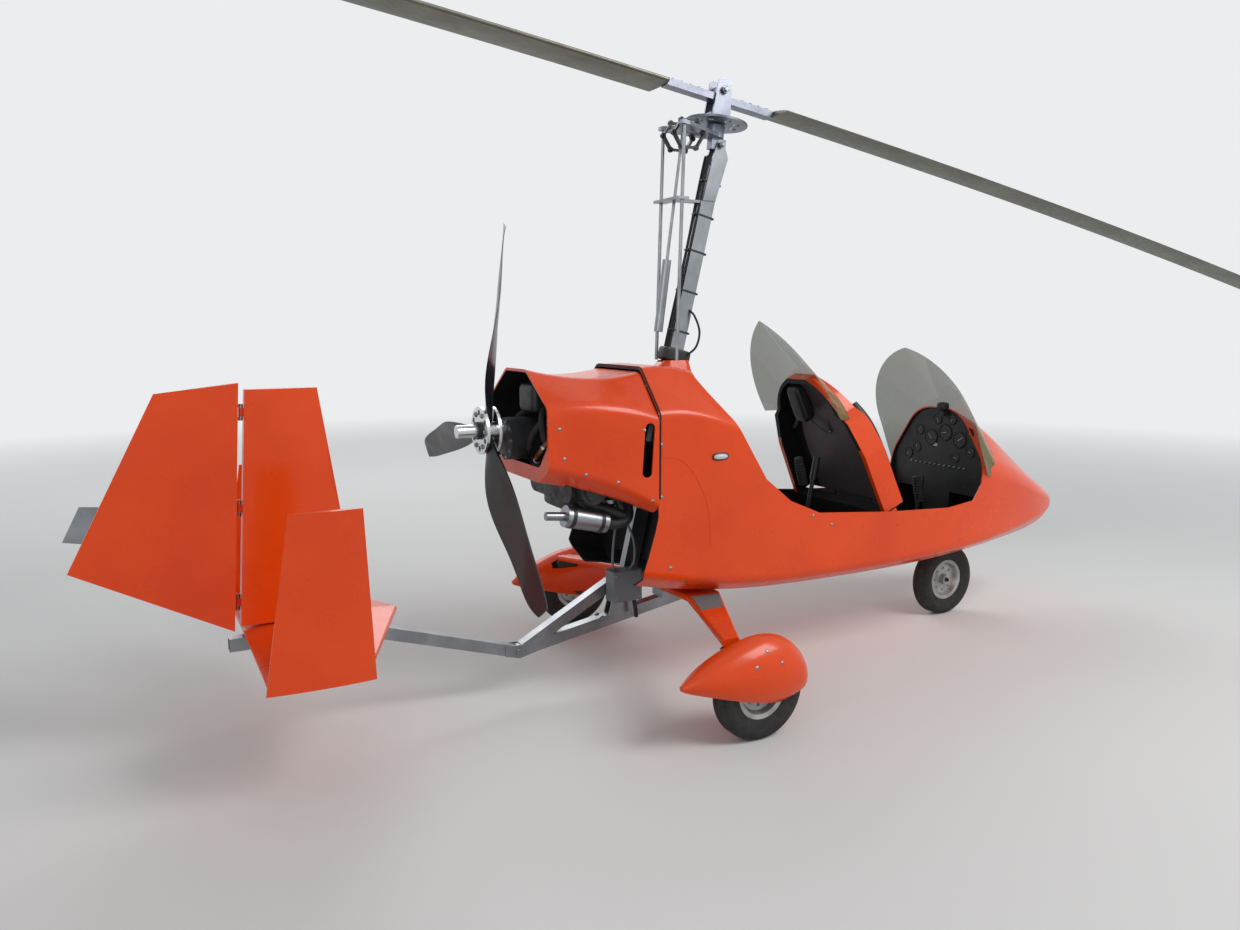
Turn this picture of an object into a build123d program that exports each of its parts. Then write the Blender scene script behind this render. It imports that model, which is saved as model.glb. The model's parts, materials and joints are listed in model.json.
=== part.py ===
"""Tandem open gyrocopter with a two-blade teetering rotor and a three-blade pusher propeller.

X points forward, Y to port, Z up. The origin lies on the ground under the rotor's teeter bolt.
The machine stands on its three wheels with the rotor parked fore and aft. Millimetres.
"""
from build123d import *
from math import cos, radians, sin, tan
import os

os.makedirs("parts", exist_ok=True)

# Running gear
tyre_diameter = 400
tyre_width = 96
rim_diameter = 224
axle_diameter = 24
bearing_play = 0.06
track_width = 1696
main_axle_x = -350
nose_axle_x = 1572
wheel_z = tyre_diameter / 2

steer_post = 30
steer_seat_z = 424
leaf_level = 421
leaf_thickness = 30

# Fuselage shell
shell_wall = 7
face_gap = 0.3
seam_x = -530
cowl_end_x = -1015

# Mast
mast_depth = 72
mast_width = 42
mast_wall = 3
mast_lean = 13.6
mast_foot_x = -513
mast_foot_z = 342
mast_top_z = 2395

# Rotor
rotor_radius = 4200
rotor_chord = 200
rotor_thickness = 24
teeter_z = 2675
teeter_bolt = 14
undersling = 34
head_tilt = 7.0
teeter_rest = 2.5
rotor_azimuth = -3.0
blade_pitch = 2.0
blade_droop = 0.007
pitch_bolt_x = -6
pitch_bolt_z = 2440
pitch_bolt = 16
arm_reach = 232
rod_spread = 90
rod_foot_x = -272
rod_foot_z = 1470

# Engine
engine_front_x = -572
engine_rear_x = -862
gearbox_end_x = -1070
engine_z = 1010
engine_height = 250

# Propeller
prop_radius = 860
prop_x = -1150
prop_z = 1193
gearbox_z = prop_z - 40
gearbox_radius = 90
prop_clock = 16.6

# Tail
fin_thickness = 60
tail_half_span = 620
outer_fin_thickness = 34
stabiliser_z = 480
stabiliser_thickness = 46
boom_size = 50
boom_wall = 3
keel_joint_x = -1035
keel_joint_z = 208


def hull_face(row, inset=0.0):
    """One cross-section of the fuselage, drawn in a plane across X and drawn in by an inset."""
    x, z_bottom, z_low, z_shoulder, z_top, half_bottom, half_side, half_top, crown = row
    side = half_side - inset
    half = [
        (half_bottom - inset * 0.6, z_bottom + inset),
        (side, z_low + inset * 0.5),
        (side, z_shoulder - inset * 0.4),
        (half_top - inset * 0.5, z_top - inset),
    ]
    with BuildSketch(Plane.YZ.offset(x)) as face:
        with BuildLine():
            Polyline(half + [(-y, z) for y, z in reversed(half)], close=True)
        make_face()
        fillet(face.vertices().sort_by(Axis.Y)[:4], 0.14 * side)
        fillet(face.vertices().sort_by(Axis.Y)[-4:], crown)
    return face.sketch


# Fuselage stations: x, z_bottom, z_low, z_shoulder, z_top, half_bottom, half_side, half_top, crown
# radius. Behind the seats the upper sides lean in to a narrow deck; over the panel they make an arch.
hull_rows = [
    (-620, 512, 575, 1250, 1434, 250, 374, 208, 60),
    (-250, 452, 508, 1236, 1426, 285, 384, 200, 60),
    (150, 420, 472, 1085, 1235, 290, 384, 210, 70),
    (700, 412, 466, 955, 1140, 285, 372, 200, 90),
    (1480, 430, 490, 905, 1182, 235, 332, 150, 190),
    (1960, 455, 528, 768, 892, 155, 236, 92, 120),
    (2250, 487, 552, 662, 712, 86, 134, 48, 60),
    (2412, 540, 562, 590, 602, 22, 36, 13, 10),
]


def hull_row_at(x):
    """A row of the fuselage table between two stations."""
    for aft, fore in zip(hull_rows, hull_rows[1:]):
        if x <= fore[0]:
            share = (x - aft[0]) / (fore[0] - aft[0])
            return tuple(a + (f - a) * share for a, f in zip(aft, fore))
    return hull_rows[-1]


def hull_loft(inset):
    """The fuselage's body drawn in by an inset, with its nose drawn back as well."""
    nose = hull_rows[-1]
    rows = hull_rows[:-1] + [(nose[0] - 2 * inset,) + nose[1:]]
    with BuildPart() as body:
        loft(sections=[hull_face(row, inset) for row in rows])
    return body.part


def turned(plane, direction, angle):
    """A plane turned about a direction through its own origin, by an angle in degrees."""
    spindle = Axis((0, 0, 0), direction)
    return Plane(
        origin=plane.origin, x_dir=plane.x_dir.rotate(spindle, angle), z_dir=plane.z_dir.rotate(spindle, angle)
    )


hull_body = hull_loft(0)
hull_cavity = hull_loft(shell_wall)
cavity_fit = hull_loft(shell_wall + face_gap)
hull_grown = hull_loft(-face_gap)


def mast_x(z):
    """X of the mast's centreline at a height."""
    return mast_foot_x + (z - mast_foot_z) * tan(radians(mast_lean))


firewall_gap = 14
firewall_wall = 8
with BuildPart() as firewall:
    # Leaning bulkhead between the rear seat and the mast
    with BuildSketch(Plane.XZ) as firewall_side:
        with BuildLine():
            front_low = mast_x(440) + mast_depth / 2 + firewall_gap
            front_high = mast_x(1460) + mast_depth / 2 + firewall_gap
            Polyline(
                (front_low, 440),
                (front_low + firewall_wall, 440),
                (front_high + firewall_wall, 1460),
                (front_high, 1460),
                close=True,
            )
        make_face()
    extrude(amount=450, both=True)
    add(hull_loft(shell_wall / 2), mode=Mode.INTERSECT)

with BuildPart() as fuselage_tub:
    add(hull_body)
    # Pad that the leaf spring is clamped against
    with BuildSketch(Plane.XY.offset(leaf_level + leaf_thickness / 2 + face_gap)) as gear_pad:
        with Locations((-238, 0)):
            Rectangle(180, 230)
    extrude(amount=60)
    add(hull_cavity, mode=Mode.SUBTRACT)
    add(firewall.part)
    # Open rear end, with the side panels reaching aft of the cowl seam at the bottom
    with BuildSketch(Plane.XZ) as rear_cut:
        with BuildLine():
            Polyline(
                (-700, 1500),
                (seam_x, 1500),
                (seam_x, 825),
                (-545, 760),
                (-575, 660),
                (-600, 590),
                (-560, 440),
                (-700, 440),
                close=True,
            )
        make_face()
    extrude(amount=500, both=True, mode=Mode.SUBTRACT)
    # Bottom of the engine bay, open between the side panels
    with BuildSketch(Plane.XY.offset(400)) as bay_floor:
        with Locations((-520, 0)):
            Rectangle(300, 480)
    extrude(amount=160, mode=Mode.SUBTRACT)
    # Both cockpits, cut across from rim to rim
    with BuildSketch(Plane.XZ) as cockpit_side:
        with BuildLine():
            Polyline(
                (-262, 1600),
                (-262, 1402),
                (-228, 1340),
                (-160, 1236),
                (-82, 1112),
                (22, 950),
                (163, 838),
                (342, 764),
                (778, 727),
                (1205, 705),
                (1400, 722),
                (1462, 800),
                (1478, 920),
                (1478, 1600),
                close=True,
            )
        make_face()
    extrude(amount=500, both=True, mode=Mode.SUBTRACT)
    # Tube that the nose leg turns in
    with BuildSketch(Plane.XY.offset(steer_seat_z)) as steer_boss:
        with Locations((nose_axle_x, 0)):
            Circle(steer_post / 2 + 12)
    extrude(amount=110)
    with BuildSketch(Plane.XY.offset(steer_seat_z - 5)) as steer_bore:
        with Locations((nose_axle_x, 0)):
            Circle(steer_post / 2 + bearing_play)
    extrude(amount=130, mode=Mode.SUBTRACT)
    # Slot in the roof for the mast and the rods beside it
    with BuildSketch(Plane.XY.offset(1380)) as mast_hole:
        with Locations((mast_x(1430) - 20, 0)):
            Rectangle(mast_depth + 90, mast_width + 50)
        with Locations((rod_foot_x, -rod_spread), (rod_foot_x, rod_spread)):
            Circle(20)
    extrude(amount=100, mode=Mode.SUBTRACT)
fuselage_tub.part.label = "fuselage_tub"
export_step(fuselage_tub.part, "parts/fuselage_tub.step")

# Engine cowl stations, in the same columns as the fuselage
cowl_rows = [
    (seam_x - face_gap, 838, 866) + hull_row_at(seam_x)[3:5] + (325,) + hull_row_at(seam_x)[6:],
    (-760, 930, 985, 1304, 1410, 305, 366, 195, 60),
    (cowl_end_x, 992, 1052, 1300, 1449, 225, 332, 110, 60),
]
cowl_mouth_gap = 8
cowl_mouth_z = gearbox_z - gearbox_radius - cowl_mouth_gap
cowl_lip = 12
scoop_x = -580
scoop_width = 46

with BuildPart() as engine_cowl:
    loft(sections=[hull_face(row) for row in cowl_rows])
    loft(sections=[hull_face(row, shell_wall) for row in cowl_rows], mode=Mode.SUBTRACT)
    # End wall that leaves a rounded mouth around the gearbox, closed below it
    extrude(hull_face(cowl_rows[-1], shell_wall / 2), amount=shell_wall)
    with BuildSketch(Plane.YZ.offset(cowl_end_x - 5)) as cowl_mouth:
        with BuildLine():
            mouth_half = cowl_rows[-1][6] - cowl_lip
            mouth_top = cowl_rows[-1][4] - cowl_lip
            Polyline(
                (-mouth_half, cowl_rows[-1][3]),
                (-cowl_rows[-1][7], mouth_top),
                (cowl_rows[-1][7], mouth_top),
                (mouth_half, cowl_rows[-1][3]),
                (mouth_half, cowl_mouth_z + 90),
                (mouth_half - 80, cowl_mouth_z),
                (80 - mouth_half, cowl_mouth_z),
                (-mouth_half, cowl_mouth_z + 90),
                close=True,
            )
        make_face()
        fillet(cowl_mouth.vertices(), 40)
    extrude(amount=shell_wall + 10, mode=Mode.SUBTRACT)
    # The underside is open ahead of the rear collar
    with BuildSketch(Plane.XY.offset(820)) as cowl_floor:
        with Locations(((seam_x + cowl_end_x) / 2 + 45, 0)):
            Rectangle(seam_x - cowl_end_x - 110, 560)
    extrude(amount=250, mode=Mode.SUBTRACT)
    # Upright air intake in each flank, just behind the seam
    with BuildSketch(Plane.XZ) as scoop_slot:
        with Locations((scoop_x, 1115)):
            SlotOverall(228, scoop_width, rotation=86)
    extrude(amount=500, both=True, mode=Mode.SUBTRACT)
engine_cowl.part.label = "engine_cowl"
export_step(engine_cowl.part, "parts/engine_cowl.step")


def round_bar(start, end, radius):
    """A plain round bar between two points."""
    run = Vector(*end) - Vector(*start)
    with BuildPart() as bar:
        with BuildSketch(Plane(origin=start, z_dir=run)):
            Circle(radius)
        extrude(amount=run.length)
    return bar.part


mast_dir = Vector(sin(radians(mast_lean)), 0, cos(radians(mast_lean)))
mast_length = (mast_top_z - mast_foot_z) / cos(radians(mast_lean))
mast_plane = Plane(origin=(mast_foot_x, 0, mast_foot_z), x_dir=(0, 1, 0), z_dir=mast_dir)

# Rotor shaft line and the control rods beside the mast
head_lean = radians(head_tilt)
shaft_dir = (sin(head_lean), 0, cos(head_lean))
shaft_plane = Plane(origin=(0, 0, teeter_z), x_dir=(cos(head_lean), 0, -sin(head_lean)), z_dir=shaft_dir)
# The rotor is parked a little to one side of straight ahead
spin_plane = turned(shaft_plane, shaft_plane.z_dir, rotor_azimuth)
shaft_diameter = 32
housing_diameter = 84
housing_base = -206
housing_top = -152
gear_diameter = 284
gear_thickness = 10
gear_level = -146
rod_diameter = 16
pitch_local = Vector(pitch_bolt_x, 0, pitch_bolt_z) - Vector(0, 0, teeter_z)
pitch_local_x = pitch_local.X * cos(head_lean) - pitch_local.Z * sin(head_lean)
pitch_local_z = pitch_local.X * sin(head_lean) + pitch_local.Z * cos(head_lean)

rod_head = shaft_plane.from_local_coords((-arm_reach + 14, 0, housing_base - 3))
rod_guide_z = 2178
trim_rod = 14
trim_foot = (-316, 0, 1600)
trim_head = shaft_plane.from_local_coords((-arm_reach + 62, 0, housing_base - 3))

cheek_wall = 6
cheek_eye = 42

with BuildPart() as mast:
    with BuildSketch(mast_plane) as mast_section:
        Rectangle(mast_width, mast_depth)
        Rectangle(mast_width - 2 * mast_wall, mast_depth - 2 * mast_wall, mode=Mode.SUBTRACT)
    extrude(amount=mast_length - 60)
    # Cheek plates that carry the pitch bolt, one on each flank of the tube
    for flank in (-1, 1):
        near_face = flank * mast_width / 2
        with BuildSketch(Plane.XZ.offset(-near_face)) as cheek_face:
            with BuildLine():
                Polyline(
                    (mast_x(2190) - 34, 2190),
                    (mast_x(2190) + 34, 2190),
                    (pitch_bolt_x + 40, pitch_bolt_z - 60),
                    (pitch_bolt_x + 20, pitch_bolt_z + 4),
                    (pitch_bolt_x - 20, pitch_bolt_z + 4),
                    (pitch_bolt_x - 44, pitch_bolt_z - 60),
                    close=True,
                )
            make_face()
            # Round eye that the head's arms clear at full pitch
            with Locations((pitch_bolt_x, pitch_bolt_z)):
                Circle(cheek_eye / 2)
                Circle(pitch_bolt / 2 + bearing_play, mode=Mode.SUBTRACT)
        extrude(amount=-flank * cheek_wall)
    # Plates that reach aft to the engine
    for flank in (-1, 1):
        with BuildSketch(Plane.XZ.offset(-flank * mast_width / 2)) as engine_plate:
            with BuildLine():
                Polyline(
                    (engine_front_x + face_gap, 930),
                    (mast_x(900) + 20, 900),
                    (mast_x(1110) + 20, 1110),
                    (engine_front_x + face_gap, 1080),
                    close=True,
                )
            make_face()
        extrude(amount=-flank * 6)
    # Bracket that guides the control rods
    with BuildSketch(Plane.XY.offset(rod_guide_z)) as guide_face:
        with BuildLine():
            Polyline(
                (mast_x(rod_guide_z) - mast_depth / 2 + 4, -mast_width / 2),
                (mast_x(rod_guide_z) - mast_depth / 2 + 4, mast_width / 2),
                (-225, mast_width / 2),
                (-225, rod_spread + 18),
                (-282, rod_spread + 18),
                (-282, -rod_spread - 18),
                (-225, -rod_spread - 18),
                (-225, -mast_width / 2),
                close=True,
            )
        make_face()
    extrude(amount=12)
    for y in (-rod_spread, rod_spread):
        rod_bottom = (rod_foot_x, y, rod_foot_z)
        rod_top = (rod_head.X, y, rod_head.Z)
        add(round_bar(rod_bottom, rod_top, rod_diameter / 2 + 0.4), mode=Mode.SUBTRACT)
    add(round_bar(trim_foot, (trim_head.X, 0, trim_head.Z), trim_rod / 2 + 0.4), mode=Mode.SUBTRACT)
mast.part.label = "mast"
export_step(mast.part, "parts/mast.step")

fairing_base_z = 1385
fairing_height = 85
with BuildPart() as mast_fairing:
    with BuildSketch(Plane.XY.offset(fairing_base_z)) as fairing_foot:
        with Locations((mast_x(fairing_base_z) - 8, 0)):
            RectangleRounded(250, 2 * rod_spread - 30, 60)
    with BuildSketch(Plane.XY.offset(fairing_base_z + fairing_height)) as fairing_head:
        with Locations((mast_x(fairing_base_z + fairing_height) + 4, 0)):
            RectangleRounded(130, 100, 30)
    loft()
    with BuildSketch(Plane.XY.offset(fairing_base_z - 5)) as fairing_hole:
        with Locations((mast_x(fairing_base_z + fairing_height / 2), 0)):
            Rectangle(mast_depth + 44, mast_width + 8)
    extrude(amount=fairing_height + 20, mode=Mode.SUBTRACT)
    add(hull_grown, mode=Mode.SUBTRACT)
mast_fairing.part.label = "mast_fairing"
export_step(mast_fairing.part, "parts/mast_fairing.step")

# Keel frame: square tubes joined at a bolted node under the propeller
tail_bend_x = -1754
tail_end_x = -2200
tail_level_z = stabiliser_z - stabiliser_thickness / 2 - boom_size / 2 - face_gap
keel_front_x = -140
keel_front_z = 366


def tube_between(start, end, size, wall):
    """A square tube with its centreline from one point to another in the XZ plane."""
    run = Vector(*end) - Vector(*start)
    plane = Plane(origin=start, x_dir=(0, 1, 0), z_dir=run)
    with BuildPart() as tube:
        with BuildSketch(plane):
            Rectangle(size, size)
            Rectangle(size - 2 * wall, size - 2 * wall, mode=Mode.SUBTRACT)
        extrude(amount=run.length)
    return tube.part


with BuildPart() as keel_frame:
    keel_aft = (keel_joint_x - 10, 0, keel_joint_z)
    keel_fore = (keel_front_x, 0, keel_front_z)
    add(tube_between(keel_aft, keel_fore, boom_size, boom_wall))
    add(
        tube_between(
            (keel_joint_x + 20, 0, keel_joint_z - 4),
            (tail_bend_x, 0, tail_level_z),
            boom_size,
            boom_wall,
        )
    )
    add(
        tube_between(
            (keel_joint_x + 30, 0, keel_joint_z + 12),
            (mast_x(470) - mast_depth / 2 - 25, 0, 470),
            boom_size,
            boom_wall,
        )
    )
    # Level end of the boom under the stabiliser
    add(tube_between((tail_bend_x + 8, 0, tail_level_z), (tail_end_x, 0, tail_level_z), boom_size, boom_wall))
    # Gusset plates and bolts at the joint
    for flank in (-1, 1):
        with BuildSketch(Plane.XZ.offset(-flank * boom_size / 2)) as gusset:
            with BuildLine():
                Polyline(
                    (keel_joint_x - 60, keel_joint_z - 8),
                    (keel_joint_x + 10, keel_joint_z - 25),
                    (keel_joint_x + 110, keel_joint_z - 2),
                    (keel_joint_x + 110, keel_joint_z + 60),
                    (keel_joint_x + 20, keel_joint_z + 34),
                    (keel_joint_x - 60, keel_joint_z + 38),
                    close=True,
                )
            make_face()
        extrude(amount=-flank * 4)
    # Saddle under the leaf spring
    with BuildSketch(Plane.XY.offset(leaf_level - leaf_thickness / 2 - face_gap)) as saddle_face:
        with Locations((-238, 0)):
            Rectangle(150, 90)
    extrude(amount=-45)
    # Side plates that take the mast's foot and the head of the diagonal
    for flank in (-1, 1):
        with BuildSketch(Plane.XZ.offset(-flank * (mast_width / 2 + face_gap))) as foot_plate:
            with BuildLine():
                Polyline((-590, 296), (-440, 322), (-440, 380), (-520, 400), (-570, 372), close=True)
            make_face()
            with BuildLine():
                Polyline((-570, 428), (-540, 415), (-440, 452), (-440, 510), (-560, 500), close=True)
            make_face()
        extrude(amount=-flank * 6)
keel_frame.part.label = "keel_frame"
export_step(keel_frame.part, "parts/keel_frame.step")

# Landing gear leaf: one spring from wheel to wheel under the belly
axle_inner_y = track_width / 2 - 78

# Leaf stations from the centre outward: y, x_centre, z_centre, chord
leaf_rows = [
    (0, -238, leaf_level, 200),
    (290, -244, leaf_level, 178),
    (540, -342, 406, 130),
    (axle_inner_y + 10, -436, 388, 86),
]

with BuildPart() as gear_leaf:
    for y, x, z, chord in leaf_rows:
        with BuildSketch(Plane.XZ.offset(-y)) as leaf_section:
            with Locations((x, z)):
                RectangleRounded(chord, leaf_thickness, leaf_thickness / 2 - 1)
    loft(ruled=True)
    mirror(about=Plane.XZ)
gear_leaf.part.label = "gear_leaf"
export_step(gear_leaf.part, "parts/gear_leaf.step")


def wheel_tyre(diameter, width, bore):
    """A balloon tyre of revolution about Y, centred on the origin."""
    crown = diameter / 2
    with BuildPart() as tyre:
        with BuildSketch(Plane.XY) as tyre_half:
            with BuildLine():
                Polyline(
                    (bore / 2, -width * 0.32),
                    (bore / 2 + 18, -width * 0.44),
                    (crown - 40, -width * 0.5),
                    (crown - 14, -width * 0.42),
                    (crown, -width * 0.2),
                    (crown, width * 0.2),
                    (crown - 14, width * 0.42),
                    (crown - 40, width * 0.5),
                    (bore / 2 + 18, width * 0.44),
                    (bore / 2, width * 0.32),
                    (bore / 2 + 12, width * 0.26),
                    (bore / 2 + 12, -width * 0.26),
                    close=True,
                )
            make_face()
        revolve(axis=Axis.Y)
    return tyre.part


def wheel_rim(diameter, width, bore):
    """A cast rim with a hub, web and seats for the tyre beads, turned about Y."""
    seat = diameter / 2
    with BuildPart() as rim:
        with BuildSketch(Plane.XY) as rim_half:
            with BuildLine():
                Polyline(
                    (bore / 2, -width * 0.36),
                    (bore / 2 + 14, -width * 0.36),
                    (bore / 2 + 18, -8),
                    (seat * 0.74, -6),
                    (seat * 0.84, -width * 0.28),
                    (seat, -width * 0.32),
                    (seat + 12, -width * 0.26),
                    (seat + 12, -width * 0.2),
                    (seat - 8, -width * 0.16),
                    (seat - 8, width * 0.16),
                    (seat + 12, width * 0.2),
                    (seat + 12, width * 0.26),
                    (seat, width * 0.32),
                    (seat * 0.84, width * 0.28),
                    (seat * 0.74, 6),
                    (bore / 2 + 18, 8),
                    (bore / 2 + 14, width * 0.36),
                    (bore / 2, width * 0.36),
                    close=True,
                )
            make_face()
        revolve(axis=Axis.Y)
    return rim.part


tyre_shape = wheel_tyre(tyre_diameter, tyre_width, rim_diameter)
rim_shape = wheel_rim(rim_diameter, tyre_width, axle_diameter + 2 * bearing_play)

# Wheels: the two main wheels stand straight, the nose wheel is built straight as well
for name, x, y in (
    ("left", main_axle_x, track_width / 2),
    ("right", main_axle_x, -track_width / 2),
    ("nose", nose_axle_x, 0),
):
    with BuildPart() as tyre:
        with Locations((x, y, wheel_z)):
            add(tyre_shape)
    tyre.part.label = "tyre_" + name
    export_step(tyre.part, "parts/tyre_" + name + ".step")
    with BuildPart() as rim:
        with Locations((x, y, wheel_z)):
            add(rim_shape)
    rim.part.label = "wheel_rim_" + name
    export_step(rim.part, "parts/wheel_rim_" + name + ".step")

# Axle brackets: a plate from the leaf's end down to a stub axle, one for each main wheel
hub_half = tyre_width * 0.36
bracket_wall = 10
fairing_half = 96
fairing_wall = 4

# Wheel fairing stations from the tail forward: x from the axle, z_centre, half_width, half_height
fairing_rows = [
    (-358, 268, 12, 10),
    (-285, 278, 50, 50),
    (-145, 280, 86, 112),
    (25, 277, fairing_half, 147),
    (150, 260, 80, 118),
    (222, 228, 36, 50),
    (231, 224, 14, 18),
]


def fairing_loft(y, inset):
    """A teardrop body around a wheel, as a row of ellipses drawn in by an inset."""
    rows = fairing_rows
    if inset:
        rows = [fairing_rows[1]] + fairing_rows[2:-2] + [fairing_rows[-2]]
    with BuildPart() as body:
        faces = []
        for x, z, half_width, half_height in rows:
            with BuildSketch(Plane.YZ.offset(main_axle_x + x)) as ring:
                with Locations((y, z)):
                    Ellipse(half_width - inset, half_height - inset)
            faces.append(ring.sketch)
        loft(sections=faces)
    return body.part


def bracket_sketch(grow):
    """Outline of an axle bracket, grown all round."""
    with BuildSketch() as outline:
        with BuildLine():
            Polyline(
                (-490, 372.5),
                (-380, 372.5),
                (main_axle_x + 34, wheel_z),
                (main_axle_x, wheel_z - 34),
                (main_axle_x - 34, wheel_z),
                close=True,
            )
        make_face()
        fillet(outline.vertices(), 12)
        if grow:
            offset(amount=grow)
    return outline.sketch


for name, side in (("left", 1), ("right", -1)):
    wheel_y = side * track_width / 2
    plate_y = side * axle_inner_y
    with BuildPart() as axle_bracket:
        # Stub axle, ending just short of the fairing's outer wall
        with BuildSketch(Plane.XZ.offset(-(plate_y + side * bracket_wall / 2))) as axle_face:
            with Locations((main_axle_x, wheel_z)):
                Circle(axle_diameter / 2)
        extrude(amount=-side * 180)
        add(fairing_loft(wheel_y, fairing_wall + face_gap), mode=Mode.INTERSECT)
        with BuildSketch(Plane.XZ.offset(-plate_y)) as bracket_face:
            add(bracket_sketch(0))
        extrude(amount=-side * bracket_wall)
    axle_bracket.part.label = "axle_bracket_" + name
    export_step(axle_bracket.part, "parts/axle_bracket_" + name + ".step")

    with BuildPart() as wheel_fairing:
        add(fairing_loft(wheel_y, 0))
        add(fairing_loft(wheel_y, fairing_wall), mode=Mode.SUBTRACT)
        with BuildSketch(Plane.XZ.offset(-wheel_y)) as fairing_side:
            with BuildLine():
                Polyline(
                    (main_axle_x - 400, 262),
                    (main_axle_x + 66, 150),
                    (main_axle_x + 300, 225),
                    (main_axle_x + 300, 0),
                    (main_axle_x - 400, 0),
                    close=True,
                )
            make_face()
        extrude(amount=150, both=True, mode=Mode.SUBTRACT)
        # Notch in the inner wall for the leaf spring
        with BuildSketch(Plane.YZ.offset(-505)) as leaf_notch:
            with Locations((side * (axle_inner_y - 14), 380)):
                Rectangle(80, 90)
        extrude(amount=140, mode=Mode.SUBTRACT)
        # Slot where the bracket's plate passes the wall
        with BuildSketch(Plane.XZ.offset(-(plate_y - side))) as bracket_slot:
            add(bracket_sketch(1))
        extrude(amount=-side * (bracket_wall + 2), mode=Mode.SUBTRACT)
    wheel_fairing.part.label = "wheel_fairing_" + name
    export_step(wheel_fairing.part, "parts/wheel_fairing_" + name + ".step")

# Nose gear: a steered leg on the port side of the wheel with a stub axle
with BuildPart() as nose_leg:
    leg_y = tyre_width / 2 + 14
    with BuildSketch(Plane.XZ.offset(-leg_y)) as leg_face:
        with BuildLine():
            Polyline(
                (nose_axle_x - 24, wheel_z - 20),
                (nose_axle_x + 24, wheel_z - 20),
                (nose_axle_x + 30, steer_seat_z - face_gap),
                (nose_axle_x - 30, steer_seat_z - face_gap),
                close=True,
            )
        make_face()
    extrude(amount=-12)
    with BuildSketch(Plane.XY.offset(wheel_z + tyre_diameter / 2 + 10)) as leg_bridge:
        with Locations((nose_axle_x, leg_y / 2)):
            Rectangle(60, leg_y + 24)
    extrude(amount=steer_seat_z - face_gap - wheel_z - tyre_diameter / 2 - 10)
    with BuildSketch(Plane.XY.offset(wheel_z + tyre_diameter / 2 + 10)) as leg_post:
        with Locations((nose_axle_x, 0)):
            Circle(steer_post / 2)
    extrude(amount=110)
    with BuildSketch(Plane.XZ.offset(-leg_y)) as nose_stub:
        with Locations((nose_axle_x, wheel_z)):
            Circle(axle_diameter / 2)
    extrude(amount=leg_y + hub_half + 8)
    # Hollow end of the axle, where a tow bar's pin goes in
    with BuildSketch(Plane.XZ.offset(hub_half + 8)) as tow_bore:
        with Locations((nose_axle_x, wheel_z)):
            Circle(7)
    extrude(amount=-60, mode=Mode.SUBTRACT)
nose_leg.part.label = "nose_leg"
export_step(nose_leg.part, "parts/nose_leg.step")

# Rotor head, which tips fore and aft on the pitch bolt between the cheek plates
with BuildPart() as rotor_head:
    # Block between the cheeks, with the pitch bolt through it
    with BuildSketch(shaft_plane.offset(pitch_local_z - 24)) as block_face:
        with Locations((pitch_local_x - 8, 0)):
            Rectangle(76, mast_width - 2)
    extrude(amount=housing_base - pitch_local_z + 24)
    with BuildSketch(Plane.XZ.offset(-(mast_width / 2 + cheek_wall + 14))) as bolt_face:
        with Locations((pitch_bolt_x, pitch_bolt_z)):
            Circle(pitch_bolt / 2)
    extrude(amount=mast_width + 2 * cheek_wall + 28)
    # Bearing housing and the arms that reach aft to the control rods
    with BuildSketch(shaft_plane.offset(housing_base)) as housing_face:
        Circle(housing_diameter / 2)
        with BuildLine():
            Polyline(
                (20, -34),
                (20, 34),
                (-arm_reach + 34, rod_spread + 14),
                (-arm_reach - 6, rod_spread + 14),
                (-arm_reach - 6, rod_spread - 12),
                (-arm_reach + 40, 0),
                (-arm_reach - 6, -rod_spread + 12),
                (-arm_reach - 6, -rod_spread - 14),
                (-arm_reach + 34, -rod_spread - 14),
                close=True,
            )
        make_face()
        with Locations((-110, 0)):
            RectangleRounded(80, 44, 14, mode=Mode.SUBTRACT)
    extrude(amount=16)
    with BuildSketch(shaft_plane.offset(housing_base + 16)) as housing_upper:
        Circle(housing_diameter / 2)
        Circle(shaft_diameter / 2 + bearing_play, mode=Mode.SUBTRACT)
    extrude(amount=housing_top - housing_base - 16)
    with BuildSketch(shaft_plane.offset(housing_base + 2)) as shaft_bore:
        Circle(shaft_diameter / 2 + bearing_play)
    extrude(amount=40, mode=Mode.SUBTRACT)
rotor_head.part.label = "rotor_head"
export_step(rotor_head.part, "parts/rotor_head.step")

tower_gap = 68
tower_wall = 9
tower_top = 52

with BuildPart() as rotor_hub:
    # Shaft, base block and the two towers that hold the teeter bolt
    with BuildSketch(shaft_plane.offset(housing_base + 4)) as shaft_face:
        Circle(shaft_diameter / 2)
    extrude(amount=-housing_base - 4 - 118)
    with BuildSketch(spin_plane.offset(-126)) as hub_base:
        RectangleRounded(104, tower_gap + 2 * tower_wall, 10)
    extrude(amount=22)
    for flank in (-1, 1):
        inner = flank * tower_gap / 2
        tower_plane = Plane(
            origin=spin_plane.from_local_coords((0, inner, 0)), x_dir=spin_plane.x_dir, z_dir=-spin_plane.y_dir
        )
        with BuildSketch(tower_plane) as tower_face:
            with BuildLine():
                Polyline((-46, -106), (46, -106), (32, tower_top), (-32, tower_top), close=True)
            make_face()
            fillet(tower_face.vertices().group_by(Axis.Y)[-1], 10)
            Circle(teeter_bolt / 2, mode=Mode.SUBTRACT)
        extrude(amount=-flank * tower_wall)
    bolt_reach = tower_gap / 2 + tower_wall + 12
    add(
        round_bar(
            spin_plane.from_local_coords((0, -bolt_reach, 0)),
            spin_plane.from_local_coords((0, bolt_reach, 0)),
            teeter_bolt / 2,
        )
    )
rotor_hub.part.label = "rotor_hub"
export_step(rotor_hub.part, "parts/rotor_hub.step")

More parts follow.
